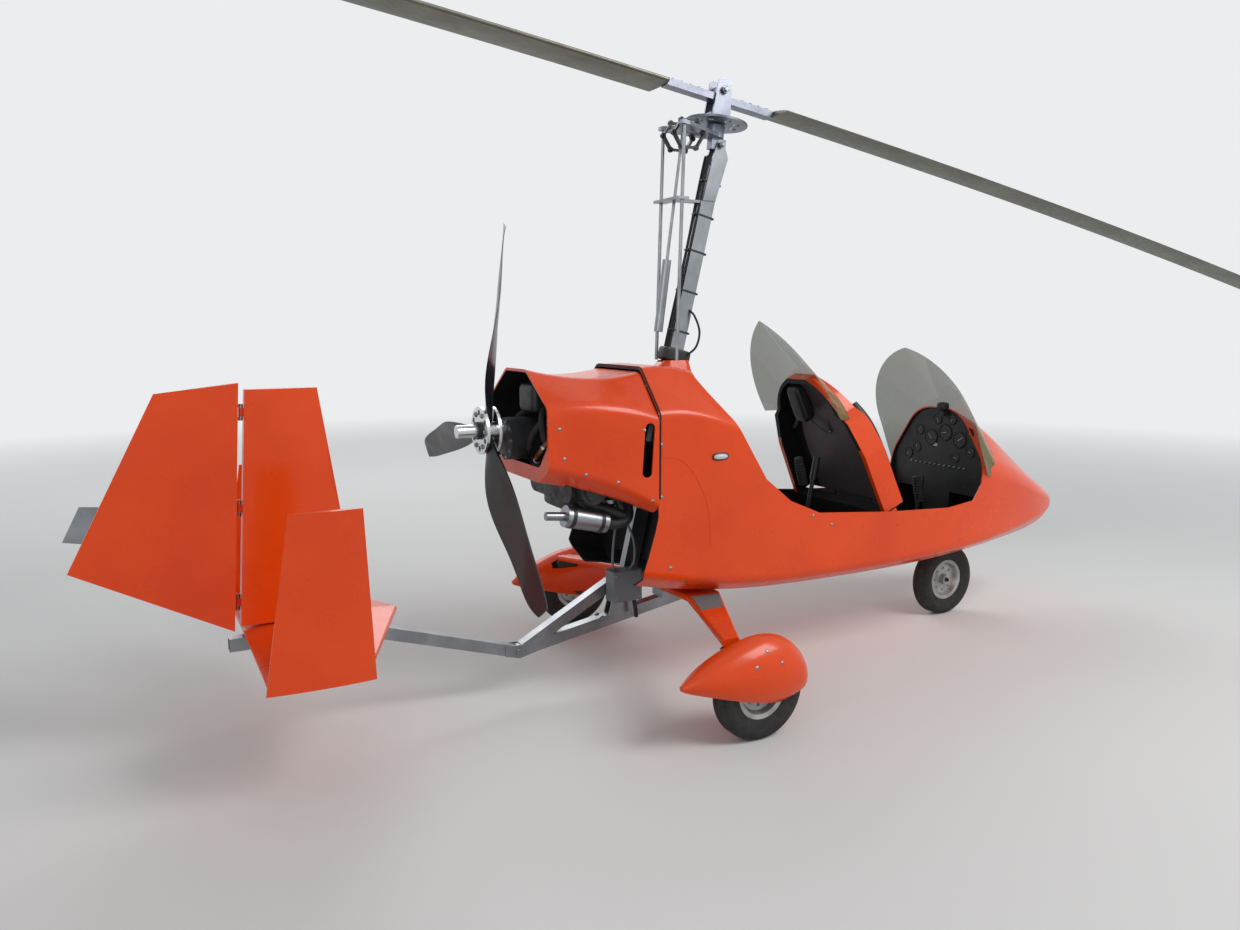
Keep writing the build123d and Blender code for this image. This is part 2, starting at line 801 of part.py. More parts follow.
with BuildPart() as prerotator_gear:
    with BuildSketch(shaft_plane.offset(gear_level)) as gear_face:
        Circle(gear_diameter / 2)
        Circle(shaft_diameter / 2 + face_gap, mode=Mode.SUBTRACT)
        with PolarLocations(gear_diameter * 0.32, 8):
            Circle(18, mode=Mode.SUBTRACT)
    extrude(amount=gear_thickness)
    with BuildSketch(shaft_plane.offset(gear_level + gear_thickness)) as gear_boss:
        Circle(36)
        Circle(shaft_diameter / 2 + face_gap, mode=Mode.SUBTRACT)
    extrude(amount=-126 - face_gap - gear_level - gear_thickness)
prerotator_gear.part.label = "prerotator_gear"
export_step(prerotator_gear.part, "parts/prerotator_gear.step")

# Teetering hub bar and blades, in a plane tipped by the head's tilt and the parked teeter
teeter_plane = turned(spin_plane, spin_plane.y_dir, teeter_rest)
bar_length = 560
bar_width = 62
bar_height = 30

with BuildPart() as hub_bar:
    with BuildSketch(teeter_plane.offset(-undersling - bar_height / 2)) as bar_face:
        Rectangle(bar_length, bar_width)
    extrude(amount=bar_height)
    with BuildSketch(teeter_plane.offset(-undersling + bar_height / 2)) as bar_block:
        Rectangle(46, tower_gap - 4)
    extrude(amount=undersling - bar_height / 2 + 16)
    add(
        round_bar(
            teeter_plane.from_local_coords((0, -tower_gap, 0)),
            teeter_plane.from_local_coords((0, tower_gap, 0)),
            teeter_bolt / 2 + bearing_play,
        ),
        mode=Mode.SUBTRACT,
    )
hub_bar.part.label = "hub_bar"
export_step(hub_bar.part, "parts/hub_bar.step")


def blade_face(plane, chord, thickness):
    """A blade section with its quarter chord on the plane's origin and its leading edge to -X."""
    nose = -chord / 4
    tail = chord * 3 / 4
    with BuildSketch(plane) as face:
        with BuildLine():
            ThreePointArc(
                (nose + 0.05 * chord, thickness * 0.42), (nose, 0), (nose + 0.05 * chord, -thickness * 0.3)
            )
            ThreePointArc(
                (nose + 0.05 * chord, -thickness * 0.3), (nose + 0.4 * chord, -thickness * 0.36), (tail, -1)
            )
            Line((tail, -1), (tail, 1))
            ThreePointArc(
                (tail, 1), (nose + 0.4 * chord, thickness * 0.62), (nose + 0.05 * chord, thickness * 0.42)
            )
        make_face()
    return face.sketch


blade_root = bar_length / 2 + face_gap
blade_stations = (blade_root, 1500, 2850, rotor_radius)

for name, reach in (("forward", 1), ("aft", -1)):
    with BuildPart() as rotor_blade:
        faces = []
        for s in blade_stations:
            droop = blade_droop * s * s / 1000
            centre = teeter_plane.from_local_coords((reach * s, 0, -undersling - droop))
            # The chord runs to the side the blade trails on, and is pitched nose up
            flat = Plane(origin=centre, x_dir=-reach * teeter_plane.y_dir, z_dir=-reach * teeter_plane.x_dir)
            faces.append(blade_face(turned(flat, flat.z_dir, -blade_pitch), rotor_chord, rotor_thickness))
        loft(sections=faces)
    rotor_blade.part.label = "rotor_blade_" + name
    export_step(rotor_blade.part, "parts/rotor_blade_" + name + ".step")

# Control rods up to the head's arms, and the trim cylinder between them
for name, side in (("left", 1), ("right", -1)):
    with BuildPart() as push_rod:
        foot = (rod_foot_x, side * rod_spread, rod_foot_z)
        head = (rod_head.X, side * rod_spread, rod_head.Z)
        add(round_bar(foot, head, rod_diameter / 2))
    push_rod.part.label = "push_rod_" + name
    export_step(push_rod.part, "parts/push_rod_" + name + ".step")

with BuildPart() as trim_cylinder:
    trim_top = (trim_head.X, 0, trim_head.Z)
    add(round_bar(trim_foot, tuple(Vector(*trim_foot) + (Vector(*trim_top) - Vector(*trim_foot)) * 0.36), 20))
    add(round_bar(trim_foot, trim_top, trim_rod / 2))
trim_cylinder.part.label = "trim_cylinder"
export_step(trim_cylinder.part, "parts/trim_cylinder.step")

# Engine: one plain block with the gearbox behind it, as the cowl hides the rest

with BuildPart() as engine_block:
    with BuildSketch(Plane.YZ.offset(engine_rear_x)) as engine_face:
        with Locations((0, engine_z)):
            RectangleRounded(440, engine_height, 50)
    extrude(amount=engine_front_x - engine_rear_x)
    with BuildSketch(Plane.YZ.offset(engine_rear_x)) as gearbox_face:
        with Locations((0, gearbox_z)):
            Circle(gearbox_radius)
    extrude(amount=gearbox_end_x - engine_rear_x)
engine_block.part.label = "engine_block"
export_step(engine_block.part, "parts/engine_block.step")

airbox_z = 1260
with BuildPart() as airbox:
    with BuildSketch(Plane.YZ.offset(engine_rear_x + 14)) as airbox_face:
        with Locations((0, airbox_z)):
            RectangleRounded(300, 2 * (airbox_z - engine_z - engine_height / 2 - face_gap), 40)
    extrude(amount=200)
airbox.part.label = "airbox"
export_step(airbox.part, "parts/airbox.step")

with BuildPart() as muffler:
    add(round_bar((-905, -240, 845), (-715, -240, 800), 46))
    add(round_bar((-990, -240, 852), (-890, -240, 842), 18))
    add(round_bar((-740, -240, 806), (-665, -175, engine_z - engine_height / 2 - 30), 22))
    with BuildSketch(Plane.XY.offset(engine_z - engine_height / 2 - face_gap)) as flange_face:
        with Locations((-660, -170)):
            Circle(34)
    extrude(amount=-16)
muffler.part.label = "muffler"
export_step(muffler.part, "parts/muffler.step")

# Battery box under the engine bay, hung on the mast foot
with BuildPart() as equipment_box:
    with BuildSketch(Plane.XY.offset(392)) as equipment_face:
        with Locations((-530, -mast_width / 2 - 6 - 2 * face_gap - 40)):
            RectangleRounded(150, 80, 8)
    extrude(amount=140)
equipment_box.part.label = "equipment_box"
export_step(equipment_box.part, "parts/equipment_box.step")

# Propeller
prop_hub_diameter = 200
prop_hub_depth = 64

with BuildPart() as propeller_hub:
    with BuildSketch(Plane.YZ.offset(prop_x - prop_hub_depth / 2)) as hub_plate_aft:
        with Locations((0, prop_z)):
            Circle(prop_hub_diameter / 2)
    extrude(amount=12)
    with BuildSketch(Plane.YZ.offset(prop_x + prop_hub_depth / 2 - 12)) as hub_plate_fore:
        with Locations((0, prop_z)):
            Circle(prop_hub_diameter / 2)
    extrude(amount=12)
    with BuildSketch(Plane.YZ.offset(prop_x - prop_hub_depth / 2)) as hub_core:
        with Locations((0, prop_z)):
            Circle(38)
    extrude(amount=gearbox_end_x - face_gap - prop_x + prop_hub_depth / 2)
    with BuildSketch(Plane.YZ.offset(prop_x - prop_hub_depth / 2 - 100)) as hub_extension:
        with Locations((0, prop_z)):
            Circle(27)
    extrude(amount=100)
propeller_hub.part.label = "propeller_hub"
export_step(propeller_hub.part, "parts/propeller_hub.step")

# Propeller blade stations: radius, chord, thickness, angle to the disc
prop_rows = [
    (44, 36, 32, 12),
    (118, 62, 30, 32),
    (240, 118, 22, 36),
    (430, 142, 16, 27),
    (660, 122, 10, 19),
    (prop_radius, 66, 6, 14),
]

for number in (1, 2, 3):
    clock = radians(prop_clock + 120 * (number - 1))
    span = Vector(0, -sin(clock), cos(clock))
    sweep_dir = Vector(0, -cos(clock), -sin(clock))
    with BuildPart() as propeller_blade:
        faces = []
        for r, chord, thickness, angle in prop_rows:
            flat = Plane(origin=Vector(prop_x, 0, prop_z) + span * r, x_dir=sweep_dir, z_dir=span)
            faces.append(blade_face(turned(flat, flat.z_dir, -angle), chord, thickness))
        loft(sections=faces)
        # Round the core and flat where the two hub plates clamp the root
        with BuildSketch(Plane.YZ.offset(prop_x - 50)) as hub_hole:
            with Locations((0, prop_z)):
                Circle(38 + face_gap)
        extrude(amount=100, mode=Mode.SUBTRACT)
        for clamp_side in (-1, 1):
            clamp_plane = Plane.YZ.offset(prop_x + clamp_side * (prop_hub_depth / 2 - 12 - face_gap))
            with BuildSketch(clamp_plane) as clamp_face:
                with Locations((0, prop_z)):
                    Circle(prop_hub_diameter / 2 + 4)
            extrude(amount=clamp_side * 60, mode=Mode.SUBTRACT)
    propeller_blade.part.label = "propeller_blade_" + str(number)
    export_step(propeller_blade.part, "parts/propeller_blade_" + str(number) + ".step")

# Tail surfaces
hinge_bottom = Vector(-2165, 0, 483)
hinge_top = Vector(-2102, 0, 1419)
hinge_run = hinge_top - hinge_bottom
hinge_dir = hinge_run.normalized()
hinge_side = Vector(0, 1, 0).cross(hinge_dir)
hinge_pin = 10
knuckle_height = 30
knuckle_places = (110, 470, 830)
fin_setback = 9
rudder_setback = 12


def fin_face(plane, nose, tail, thickness, tail_thickness):
    """A symmetrical section with a round nose and a square tail, drawn along the plane's X."""
    chord = nose - tail
    crown = thickness * 0.26
    crown_x = nose - thickness * 0.16
    with BuildSketch(plane) as face:
        with BuildLine():
            ThreePointArc((crown_x, crown), (nose, 0), (crown_x, -crown))
            ThreePointArc((crown_x, -crown), (nose - chord * 0.45, -thickness / 2), (tail, -tail_thickness / 2))
            Line((tail, -tail_thickness / 2), (tail, tail_thickness / 2))
            ThreePointArc((tail, tail_thickness / 2), (nose - chord * 0.45, thickness / 2), (crown_x, crown))
        make_face()
    return face.sketch


def hinge_x(z):
    """X of the rudder's hinge line at a height."""
    return hinge_bottom.X + (z - hinge_bottom.Z) * hinge_run.X / hinge_run.Z


fin_foot_z = stabiliser_z + stabiliser_thickness / 2 + face_gap
fin_top_z = 1395
with BuildPart() as central_fin:
    faces = []
    for z, nose, thin in ((fin_foot_z, -1705, 0), (fin_top_z, -1832, 14)):
        plane = Plane.XY.offset(z)
        tail = hinge_x(z) + fin_setback
        faces.append(fin_face(plane, nose, tail, fin_thickness - thin, fin_thickness - 8 - thin))
    loft(sections=faces)
    # Knuckles on the hinge line, each with a bore for the rudder's pin
    for place in knuckle_places:
        knuckle_foot = hinge_bottom + hinge_dir * (place - knuckle_height / 2)
        knuckle_plane = Plane(origin=knuckle_foot, x_dir=hinge_side, z_dir=hinge_dir)
        with BuildSketch(knuckle_plane) as knuckle_face:
            Circle(8.5)
            with Locations((9, 0)):
                Rectangle(18, 17)
        extrude(amount=knuckle_height)
        with BuildSketch(knuckle_plane.offset(-5)) as knuckle_bore:
            Circle(hinge_pin / 2 + bearing_play)
        extrude(amount=knuckle_height + 10, mode=Mode.SUBTRACT)
central_fin.part.label = "central_fin"
export_step(central_fin.part, "parts/central_fin.step")

trail_bottom = Vector(-2707, 0, 768)
trail_top = Vector(-2396, 0, 1388)
trail_run = trail_top - trail_bottom
with BuildPart() as rudder:
    nose_plane = Plane(origin=hinge_bottom - hinge_side * rudder_setback, x_dir=(0, 1, 0), z_dir=hinge_side)
    up = nose_plane.y_dir.dot(hinge_dir)
    with BuildSketch(nose_plane) as rudder_nose:
        with Locations((0, up * hinge_run.length / 2)):
            Rectangle(fin_thickness - 16, hinge_run.length)
    trail_plane = Plane(origin=trail_bottom, x_dir=(0, 1, 0), z_dir=Vector(0, 1, 0).cross(trail_run))
    up = trail_plane.y_dir.dot(trail_run.normalized())
    with BuildSketch(trail_plane) as rudder_trail:
        with Locations((0, up * trail_run.length / 2)):
            Rectangle(6, trail_run.length)
    loft(ruled=True)
    # Pins through the fin's knuckles, each held by a web above and below
    for place in knuckle_places:
        pin_foot = hinge_bottom + hinge_dir * (place - knuckle_height / 2 - 16)
        pin_plane = Plane(origin=pin_foot, x_dir=hinge_side, z_dir=hinge_dir)
        with BuildSketch(pin_plane) as pin_face:
            Circle(hinge_pin / 2)
        extrude(amount=knuckle_height + 32)
        for level in (0, knuckle_height + 32 - 14):
            with BuildSketch(pin_plane.offset(level)) as web_face:
                with Locations((-10, 0)):
                    Rectangle(20, 9)
            extrude(amount=14)
rudder.part.label = "rudder"
export_step(rudder.part, "parts/rudder.step")

with BuildPart() as trim_tab:
    with BuildSketch(Plane.XZ) as tab_face:
        with BuildLine():
            tab_low = trail_bottom + trail_run * 0.168 - Vector(2 * face_gap, 0, 0)
            tab_high = trail_bottom + trail_run * 0.371 - Vector(2 * face_gap, 0, 0)
            Polyline(
                (tab_low.X, tab_low.Z),
                (tab_high.X, tab_high.Z),
                (tab_high.X - 61, tab_high.Z + 6),
                (tab_low.X - 58, tab_low.Z + 11),
                close=True,
            )
        make_face()
    extrude(amount=1.5, both=True)
trim_tab.part.label = "trim_tab"
export_step(trim_tab.part, "parts/trim_tab.step")

with BuildPart() as stabiliser:
    half_sections = []
    tip_y = tail_half_span - outer_fin_thickness / 2 - face_gap
    for y in (-tip_y, 0, tip_y):
        share = abs(y) / tip_y
        half_sections.append(
            fin_face(
                Plane(origin=(0, y, stabiliser_z - 14 * share), x_dir=(1, 0, 0), z_dir=(0, -1, 0)),
                -1555 - 250 * share,
                -2148,
                stabiliser_thickness - 14 * share,
                8,
            )
        )
    loft(sections=half_sections[:2], ruled=True)
    loft(sections=half_sections[1:], ruled=True)
stabiliser.part.label = "stabiliser"
export_step(stabiliser.part, "parts/stabiliser.step")

for name, side in (("left", 1), ("right", -1)):
    with BuildPart() as outer_fin:
        low = Plane(origin=(0, side * tail_half_span, 434))
        high = Plane(origin=(0, side * tail_half_span, 1030))
        loft(
            sections=[
                fin_face(low, -1793, -2153, outer_fin_thickness, 8),
                fin_face(high, -1817, -2059, outer_fin_thickness - 10, 6),
            ]
        )
        # Flat inner face where the fin is bolted to the stabiliser's tip
        inner_y = tail_half_span - outer_fin_thickness / 2
        inner_face = Plane(origin=(0, side * inner_y, 0), z_dir=(0, side, 0))
        split(bisect_by=inner_face, keep=Keep.TOP)
    outer_fin.part.label = "outer_fin_" + name
    export_step(outer_fin.part, "parts/outer_fin_" + name + ".step")

# Cockpit: the seat-back shell that divides the two cockpits leans aft from the floor
divider_lean = 24.5
divider_foot = Vector(847, 0, 560)
divider_depth = 125
divider_half = 350
divider_shoulder = 655
divider_top = 882
shoulder_half = 284
head_half = 240
divider_rim = 26
divider_wall = 30
head_depth = 55

divider_plane = Plane(
    origin=divider_foot,
    x_dir=(0, 1, 0),
    z_dir=(cos(radians(divider_lean)), 0, sin(radians(divider_lean))),
)


def divider_at(rise, depth):
    """X and Z of a point that far up the divider's aft face and that far ahead of it."""
    point = divider_plane.from_local_coords((0, rise, depth))
    return (point.X, point.Z)


def divider_arch(grow):
    """Upper half of the divider above the rim, grown outwards: sloping flanks, shoulders and a head."""
    half = divider_half + grow
    shoulder = shoulder_half + grow
    head = head_half + grow
    top = divider_top + grow
    with BuildSketch(divider_plane) as arch:
        with BuildLine():
            Line((head, divider_shoulder + 40), (shoulder, divider_shoulder))
            Polyline(
                (shoulder, divider_shoulder),
                (half - 15, 480),
                (half, 168),
                (-half, 168),
                (15 - half, 480),
                (-shoulder, divider_shoulder),
            )
            Line((-shoulder, divider_shoulder), (-head, divider_shoulder + 40))
            ThreePointArc((-head, divider_shoulder + 40), (-head * 0.76, divider_shoulder + 140), (-72, top))
            Line((-72, top), (72, top))
            ThreePointArc((72, top), (head * 0.76, divider_shoulder + 140), (head, divider_shoulder + 40))
        make_face()
    return arch.sketch


def head_slope(wall):
    """The room ahead of the head's sloping front face, or of a face that lies a wall behind it."""
    with BuildPart() as room:
        with BuildSketch(Plane.XZ):
            with BuildLine():
                Polyline(
                    divider_at(divider_shoulder - 50, divider_depth - wall),
                    divider_at(divider_top + 20, head_depth - wall),
                    divider_at(divider_top + 20, 2 * divider_depth),
                    divider_at(divider_shoulder - 50, 2 * divider_depth),
                    close=True,
                )
            make_face()
        extrude(amount=400, both=True)
    return room.part


# Dish in the divider's aft side, which keeps the shell one wall thick
with BuildPart() as divider_dish:
    extrude(divider_arch(-divider_rim), amount=divider_depth - divider_wall)
    add(head_slope(divider_wall), mode=Mode.SUBTRACT)

with BuildPart() as seat_divider:
    # Foot of the shell, trimmed to the inside of the fuselage
    with BuildSketch(divider_plane) as divider_low:
        with Locations((0, 10)):
            Rectangle(760, 320)
    extrude(amount=divider_depth / 2)
    add(cavity_fit, mode=Mode.INTERSECT)
    extrude(divider_arch(0), amount=divider_depth)
    add(head_slope(0), mode=Mode.SUBTRACT)
    add(divider_dish.part, mode=Mode.SUBTRACT)
seat_divider.part.label = "seat_divider"
export_step(seat_divider.part, "parts/seat_divider.step")


def box_between(low, high):
    """A plain block between two opposite corners."""
    with BuildPart() as block:
        with BuildSketch(Plane.XY.offset(low[2])):
            with Locations(((low[0] + high[0]) / 2, (low[1] + high[1]) / 2)):
                Rectangle(high[0] - low[0], high[1] - low[1])
        extrude(amount=high[2] - low[2])
    return block.part


# Seats: a box standing on the floor under each cushion, and cushions for pan and back
seat_half = 215
front_pan = (985, 1300, 590)
rear_pan = (85, 440, 590)
pan_thickness = 70
rear_back_lean = 20
rear_back_x = 45
rear_shell_wall = 14

rear_back_rise = radians(rear_back_lean)
rear_back_plane = Plane(
    origin=(rear_back_x, 0, 600),
    x_dir=(0, 1, 0),
    z_dir=(cos(rear_back_rise), 0, sin(rear_back_rise)),
)

for name, pan in (("front", front_pan), ("rear", rear_pan)):
    pan_aft, pan_fore, pan_top = pan
    with BuildPart() as seat_base:
        add(box_between((pan_aft, -seat_half, 400), (pan_fore, seat_half, pan_top - pan_thickness - face_gap)))
        add(cavity_fit, mode=Mode.INTERSECT)
        if name == "rear":
            # Leaning shell behind the back cushion
            with BuildSketch(rear_back_plane) as rear_shell:
                with Locations((0, 250)):
                    Rectangle(2 * seat_half, 930)
            extrude(amount=-rear_shell_wall)
            add(cavity_fit, mode=Mode.INTERSECT)
    seat_base.part.label = "seat_base_" + name
    export_step(seat_base.part, "parts/seat_base_" + name + ".step")
    with BuildPart() as seat_cushion:
        add(box_between((pan_aft, -seat_half, pan_top - pan_thickness), (pan_fore, seat_half, pan_top)))
        fillet(seat_cushion.edges(), 24)
    seat_cushion.part.label = "seat_cushion_" + name
    export_step(seat_cushion.part, "parts/seat_cushion_" + name + ".step")

front_back_plane = divider_plane.offset(divider_depth + face_gap)
with BuildPart() as seat_back_front:
    with BuildSketch(front_back_plane) as front_back:
        with Locations((0, 320)):
            RectangleRounded(400, 540, 60)
    extrude(amount=50)
seat_back_front.part.label = "seat_back_front"
export_step(seat_back_front.part, "parts/seat_back_front.step")

with BuildPart() as seat_back_rear:
    with BuildSketch(rear_back_plane.offset(face_gap)) as rear_back:
        with Locations((0, 385)):
            RectangleRounded(430, 650, 80)
    extrude(amount=60)
seat_back_rear.part.label = "seat_back_rear"
export_step(seat_back_rear.part, "parts/seat_back_rear.step")

# Instrument panel: an arched face under the nose deck with a pedestal down to the floor
panel_x = 1492
panel_depth = 26
with BuildPart() as instrument_panel:
    with BuildSketch(Plane.YZ.offset(panel_x)) as panel_face:
        with Locations((0, 700)):
            Rectangle(700, 1000)
        with Locations((0, 480)):
            Rectangle(900, 480, mode=Mode.SUBTRACT)
    extrude(amount=panel_depth)
    with BuildSketch(Plane.YZ.offset(panel_x)) as pedestal_face:
        with Locations((0, 560)):
            Rectangle(190, 420)
    extrude(amount=panel_depth + 8)
    add(cavity_fit, mode=Mode.INTERSECT)
instrument_panel.part.label = "instrument_panel"
export_step(instrument_panel.part, "parts/instrument_panel.step")

# Control sticks, one for each seat
for name, foot, knee, grip in (
    ("front", (1368, 0, 450), (1345, 0, 560), (1372, 0, 800)),
    ("rear", (545, 0, 450), (565, 0, 620), (632, 0, 955)),
):
    with BuildPart() as control_stick:
        add(box_between((foot[0] - 34, -40, 400), (foot[0] + 34, 40, 462)))
        add(cavity_fit, mode=Mode.INTERSECT)
        add(round_bar(foot, knee, 11))
        add(round_bar(knee, grip, 11))
        run = (Vector(*grip) - Vector(*knee)).normalized()
        add(round_bar(tuple(Vector(*grip) - run * 110), tuple(Vector(*grip) + run * 6), 18))
    control_stick.part.label = "control_stick_" + name
    export_step(control_stick.part, "parts/control_stick_" + name + ".step")


def screen_face(plane, half, straight, height, fullness):
    """The outer and inner outline of an arch of sheet: straight legs, then two arcs up to a crown."""

    def arch(half, height):
        rise = height - straight
        with BuildSketch(plane) as face:
            with BuildLine():
                Line((half, 0), (half, straight))
                ThreePointArc((half, straight), (half * fullness, straight + rise * 0.68), (0, height))
                ThreePointArc((0, height), (-half * fullness, straight + rise * 0.68), (-half, straight))
                Line((-half, straight), (-half, 0))
                Line((-half, 0), (half, 0))
            make_face()
        return face.sketch

    return arch(half, height), arch(half - screen_wall, height - screen_wall)


screen_wall = 4

# Front screen: from a free edge that leans aft down to the nose deck
front_edge = Plane(origin=(1490, 0, 850), x_dir=(0, 1, 0), z_dir=(cos(radians(23)), 0, sin(radians(23))))
front_foot = Plane(origin=(1600, 0, 820), x_dir=(0, 1, 0), z_dir=(1, 0, 0))
front_outer, front_inner = screen_face(front_edge, 348, 230, 717, 0.72)
foot_outer, foot_inner = screen_face(front_foot, 302, 60, 268, 0.72)
with BuildPart() as windshield_front:
    loft(sections=[front_outer, foot_outer], ruled=True)
    loft(sections=[front_inner, foot_inner], ruled=True, mode=Mode.SUBTRACT)
    add(hull_grown, mode=Mode.SUBTRACT)
windshield_front.part.label = "windshield_front"
export_step(windshield_front.part, "parts/windshield_front.step")

# Rear screen: from its free edge down to the arch of the divider
rear_edge = Plane(origin=(520, 0, 1180), x_dir=(0, 1, 0), z_dir=(cos(radians(30)), 0, sin(radians(30))))
rear_foot = divider_plane.offset(divider_rim + 10)
rear_outer, rear_inner = screen_face(rear_edge, 296, 10, 543, 0.62)
rear_low = rear_foot.shift_origin(rear_foot.from_local_coords((0, divider_shoulder + 12, 0)))
base_outer, base_inner = screen_face(rear_low, 266, 10, 216, 0.74)
with BuildPart() as windshield_rear:
    loft(sections=[rear_outer, base_outer], ruled=True)
    loft(sections=[rear_inner, base_inner], ruled=True, mode=Mode.SUBTRACT)
    extrude(divider_arch(face_gap), amount=divider_depth, mode=Mode.SUBTRACT)
windshield_rear.part.label = "windshield_rear"
export_step(windshield_rear.part, "parts/windshield_rear.step")
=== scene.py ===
# %% [markdown]
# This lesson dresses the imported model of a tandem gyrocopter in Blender. The solids come from the
# frame, already at their real size and place, so each cell only adds a finish or a piece.

import json
from math import cos, pi, radians, sin

import bmesh
import bpy
import numpy as np
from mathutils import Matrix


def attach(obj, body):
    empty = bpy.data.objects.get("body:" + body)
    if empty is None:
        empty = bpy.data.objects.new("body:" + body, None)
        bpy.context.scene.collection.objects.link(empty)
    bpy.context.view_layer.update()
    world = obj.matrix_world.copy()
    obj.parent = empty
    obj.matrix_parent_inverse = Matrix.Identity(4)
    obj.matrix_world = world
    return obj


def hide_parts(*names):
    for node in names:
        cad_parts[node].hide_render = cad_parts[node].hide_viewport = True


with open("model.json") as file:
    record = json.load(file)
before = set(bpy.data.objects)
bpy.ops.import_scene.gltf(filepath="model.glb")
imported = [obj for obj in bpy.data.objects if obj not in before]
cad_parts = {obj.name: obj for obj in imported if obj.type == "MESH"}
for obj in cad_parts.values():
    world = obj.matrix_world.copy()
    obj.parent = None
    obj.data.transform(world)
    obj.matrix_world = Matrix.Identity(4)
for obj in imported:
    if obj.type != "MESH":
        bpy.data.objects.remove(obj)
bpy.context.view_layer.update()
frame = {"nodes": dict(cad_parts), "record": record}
nodes = frame["nodes"]

# %% [markdown]
# The photograph was taken from starboard, about 4.5 m from the mast and some way behind it. The camera
# stands at that place, 1.63 m above the ground, and looks slightly down and towards the nose.
# The lens is worked out from the wheel contacts and the horizon, so there is no lens shift.

# %% Camera
camera_data = bpy.data.cameras.new("photo_camera")
camera_data.sensor_width = 36
camera_data.lens = 27.435
camera_data.clip_end = 200
camera = bpy.data.objects.new("photo_camera", camera_data)
camera.location = (-2.530, -3.7375, 1.634)
camera.rotation_euler = (radians(90 - 8.486), 0, radians(-28.35))
bpy.context.scene.collection.objects.link(camera)
bpy.context.scene.camera = camera
print("camera", tuple(round(v, 3) for v in camera.location))

# %% [markdown]
# Colours are written as the hex values that a paint chart gives. Cycles wants light energies, so one
# function undoes the sRGB curve. A second one adds a shader node with its settings and links, and a
# third starts a material from its colour, metallic and roughness, set on the shader's own sockets.
# No real surface is quite even, so the others let a colour, a gloss or a relief follow a noise.


# %% Helpers for materials
def linear(hex_colour):
    """sRGB hex to linear RGBA: value / 12.92 below 0.04045, else ((value + 0.055) / 1.055) ** 2.4."""
    values = np.array([int(hex_colour[i:i + 2], 16) / 255 for i in (1, 3, 5)])
    low = values / 12.92
    high = ((values + 0.055) / 1.055) ** 2.4
    return tuple(np.where(values <= 0.04045, low, high)) + (1.0,)


def add_node(tree, kind, sockets=None, **settings):
    """Adds one node, sets its properties, and fills or links the sockets that are named."""
    node = tree.nodes.new(kind)
    for name, value in settings.items():
        setattr(node, name, value)
    for name, value in (sockets or {}).items():
        if isinstance(value, bpy.types.NodeSocket):
            tree.links.new(value, node.inputs[name])
        else:
            node.inputs[name].default_value = value
    return node


def start_material(name, hex_colour, metallic, roughness, **sockets):
    """A material with one Principled shader, and its node tree."""
    material = bpy.data.materials.new(name)
    material.use_nodes = True
    tree = material.node_tree
    shader = tree.nodes["Principled BSDF"]
    shader.inputs["Base Color"].default_value = linear(hex_colour)
    shader.inputs["Metallic"].default_value = metallic
    shader.inputs["Roughness"].default_value = roughness
    for socket, value in sockets.items():
        shader.inputs[socket.replace("_", " ")].default_value = value
    return material, tree, shader


def grain(tree, millimetres, detail=3.0, stretch=(1, 1, 1)):
    """Noise on object coordinates whose lumps are about that many millimetres wide."""
    place = add_node(tree, "ShaderNodeTexCoord")
    mapping = add_node(tree, "ShaderNodeMapping", {"Vector": place.outputs["Object"], "Scale": stretch})
    scale = 1000 / millimetres
    return add_node(
        tree, "ShaderNodeTexNoise", {"Vector": mapping.outputs["Vector"], "Scale": scale, "Detail": detail}
    ).outputs["Fac"]


def spread(tree, value, low, high, from_low=0.3, from_high=0.7):
    """Maps a noise value, which mostly lies between 0.3 and 0.7, to a range."""
    sockets = {"Value": value, "From Min": from_low, "From Max": from_high, "To Min": low, "To Max": high}
    return add_node(tree, "ShaderNodeMapRange", sockets).outputs["Result"]


def patches(tree, millimetres, detail):
    """Soft patches from 0 to 1, about that many millimetres wide."""
    return spread(tree, grain(tree, millimetres, detail), 0, 1)


def blend_colours(tree, factor, first, second):
    """One colour where the factor is 0 and another where it is 1, each a hex value or a socket."""
    first, second = (linear(colour) if isinstance(colour, str) else colour for colour in (first, second))
    sockets = {0: factor, 6: first, 7: second}
    return add_node(tree, "ShaderNodeMix", sockets, data_type="RGBA").outputs[2]


def two_tone(tree, shader, factor, first, second):
    """A base colour that wanders between two."""
    tree.links.new(blend_colours(tree, factor, first, second), shader.inputs["Base Color"])


def uneven_gloss(tree, shader, noise, low, high):
    """A roughness that wanders between two values."""
    tree.links.new(spread(tree, noise, low, high), shader.inputs["Roughness"])


def add_bump(tree, shader, height, millimetres, strength=1.0):
    """Relief of that depth on the shader's normal."""
    sockets = {"Height": height, "Distance": millimetres / 1000, "Strength": strength}
    bump = add_node(tree, "ShaderNodeBump", sockets)
    tree.links.new(bump.outputs["Normal"], shader.inputs["Normal"])


# %% [markdown]
# The body panels are glass fibre laid up in a mould whose first layer is a coloured gel coat. It gives a
# wet gloss, a faint waviness a hand wide, and a dulling film of dust on what faces up.


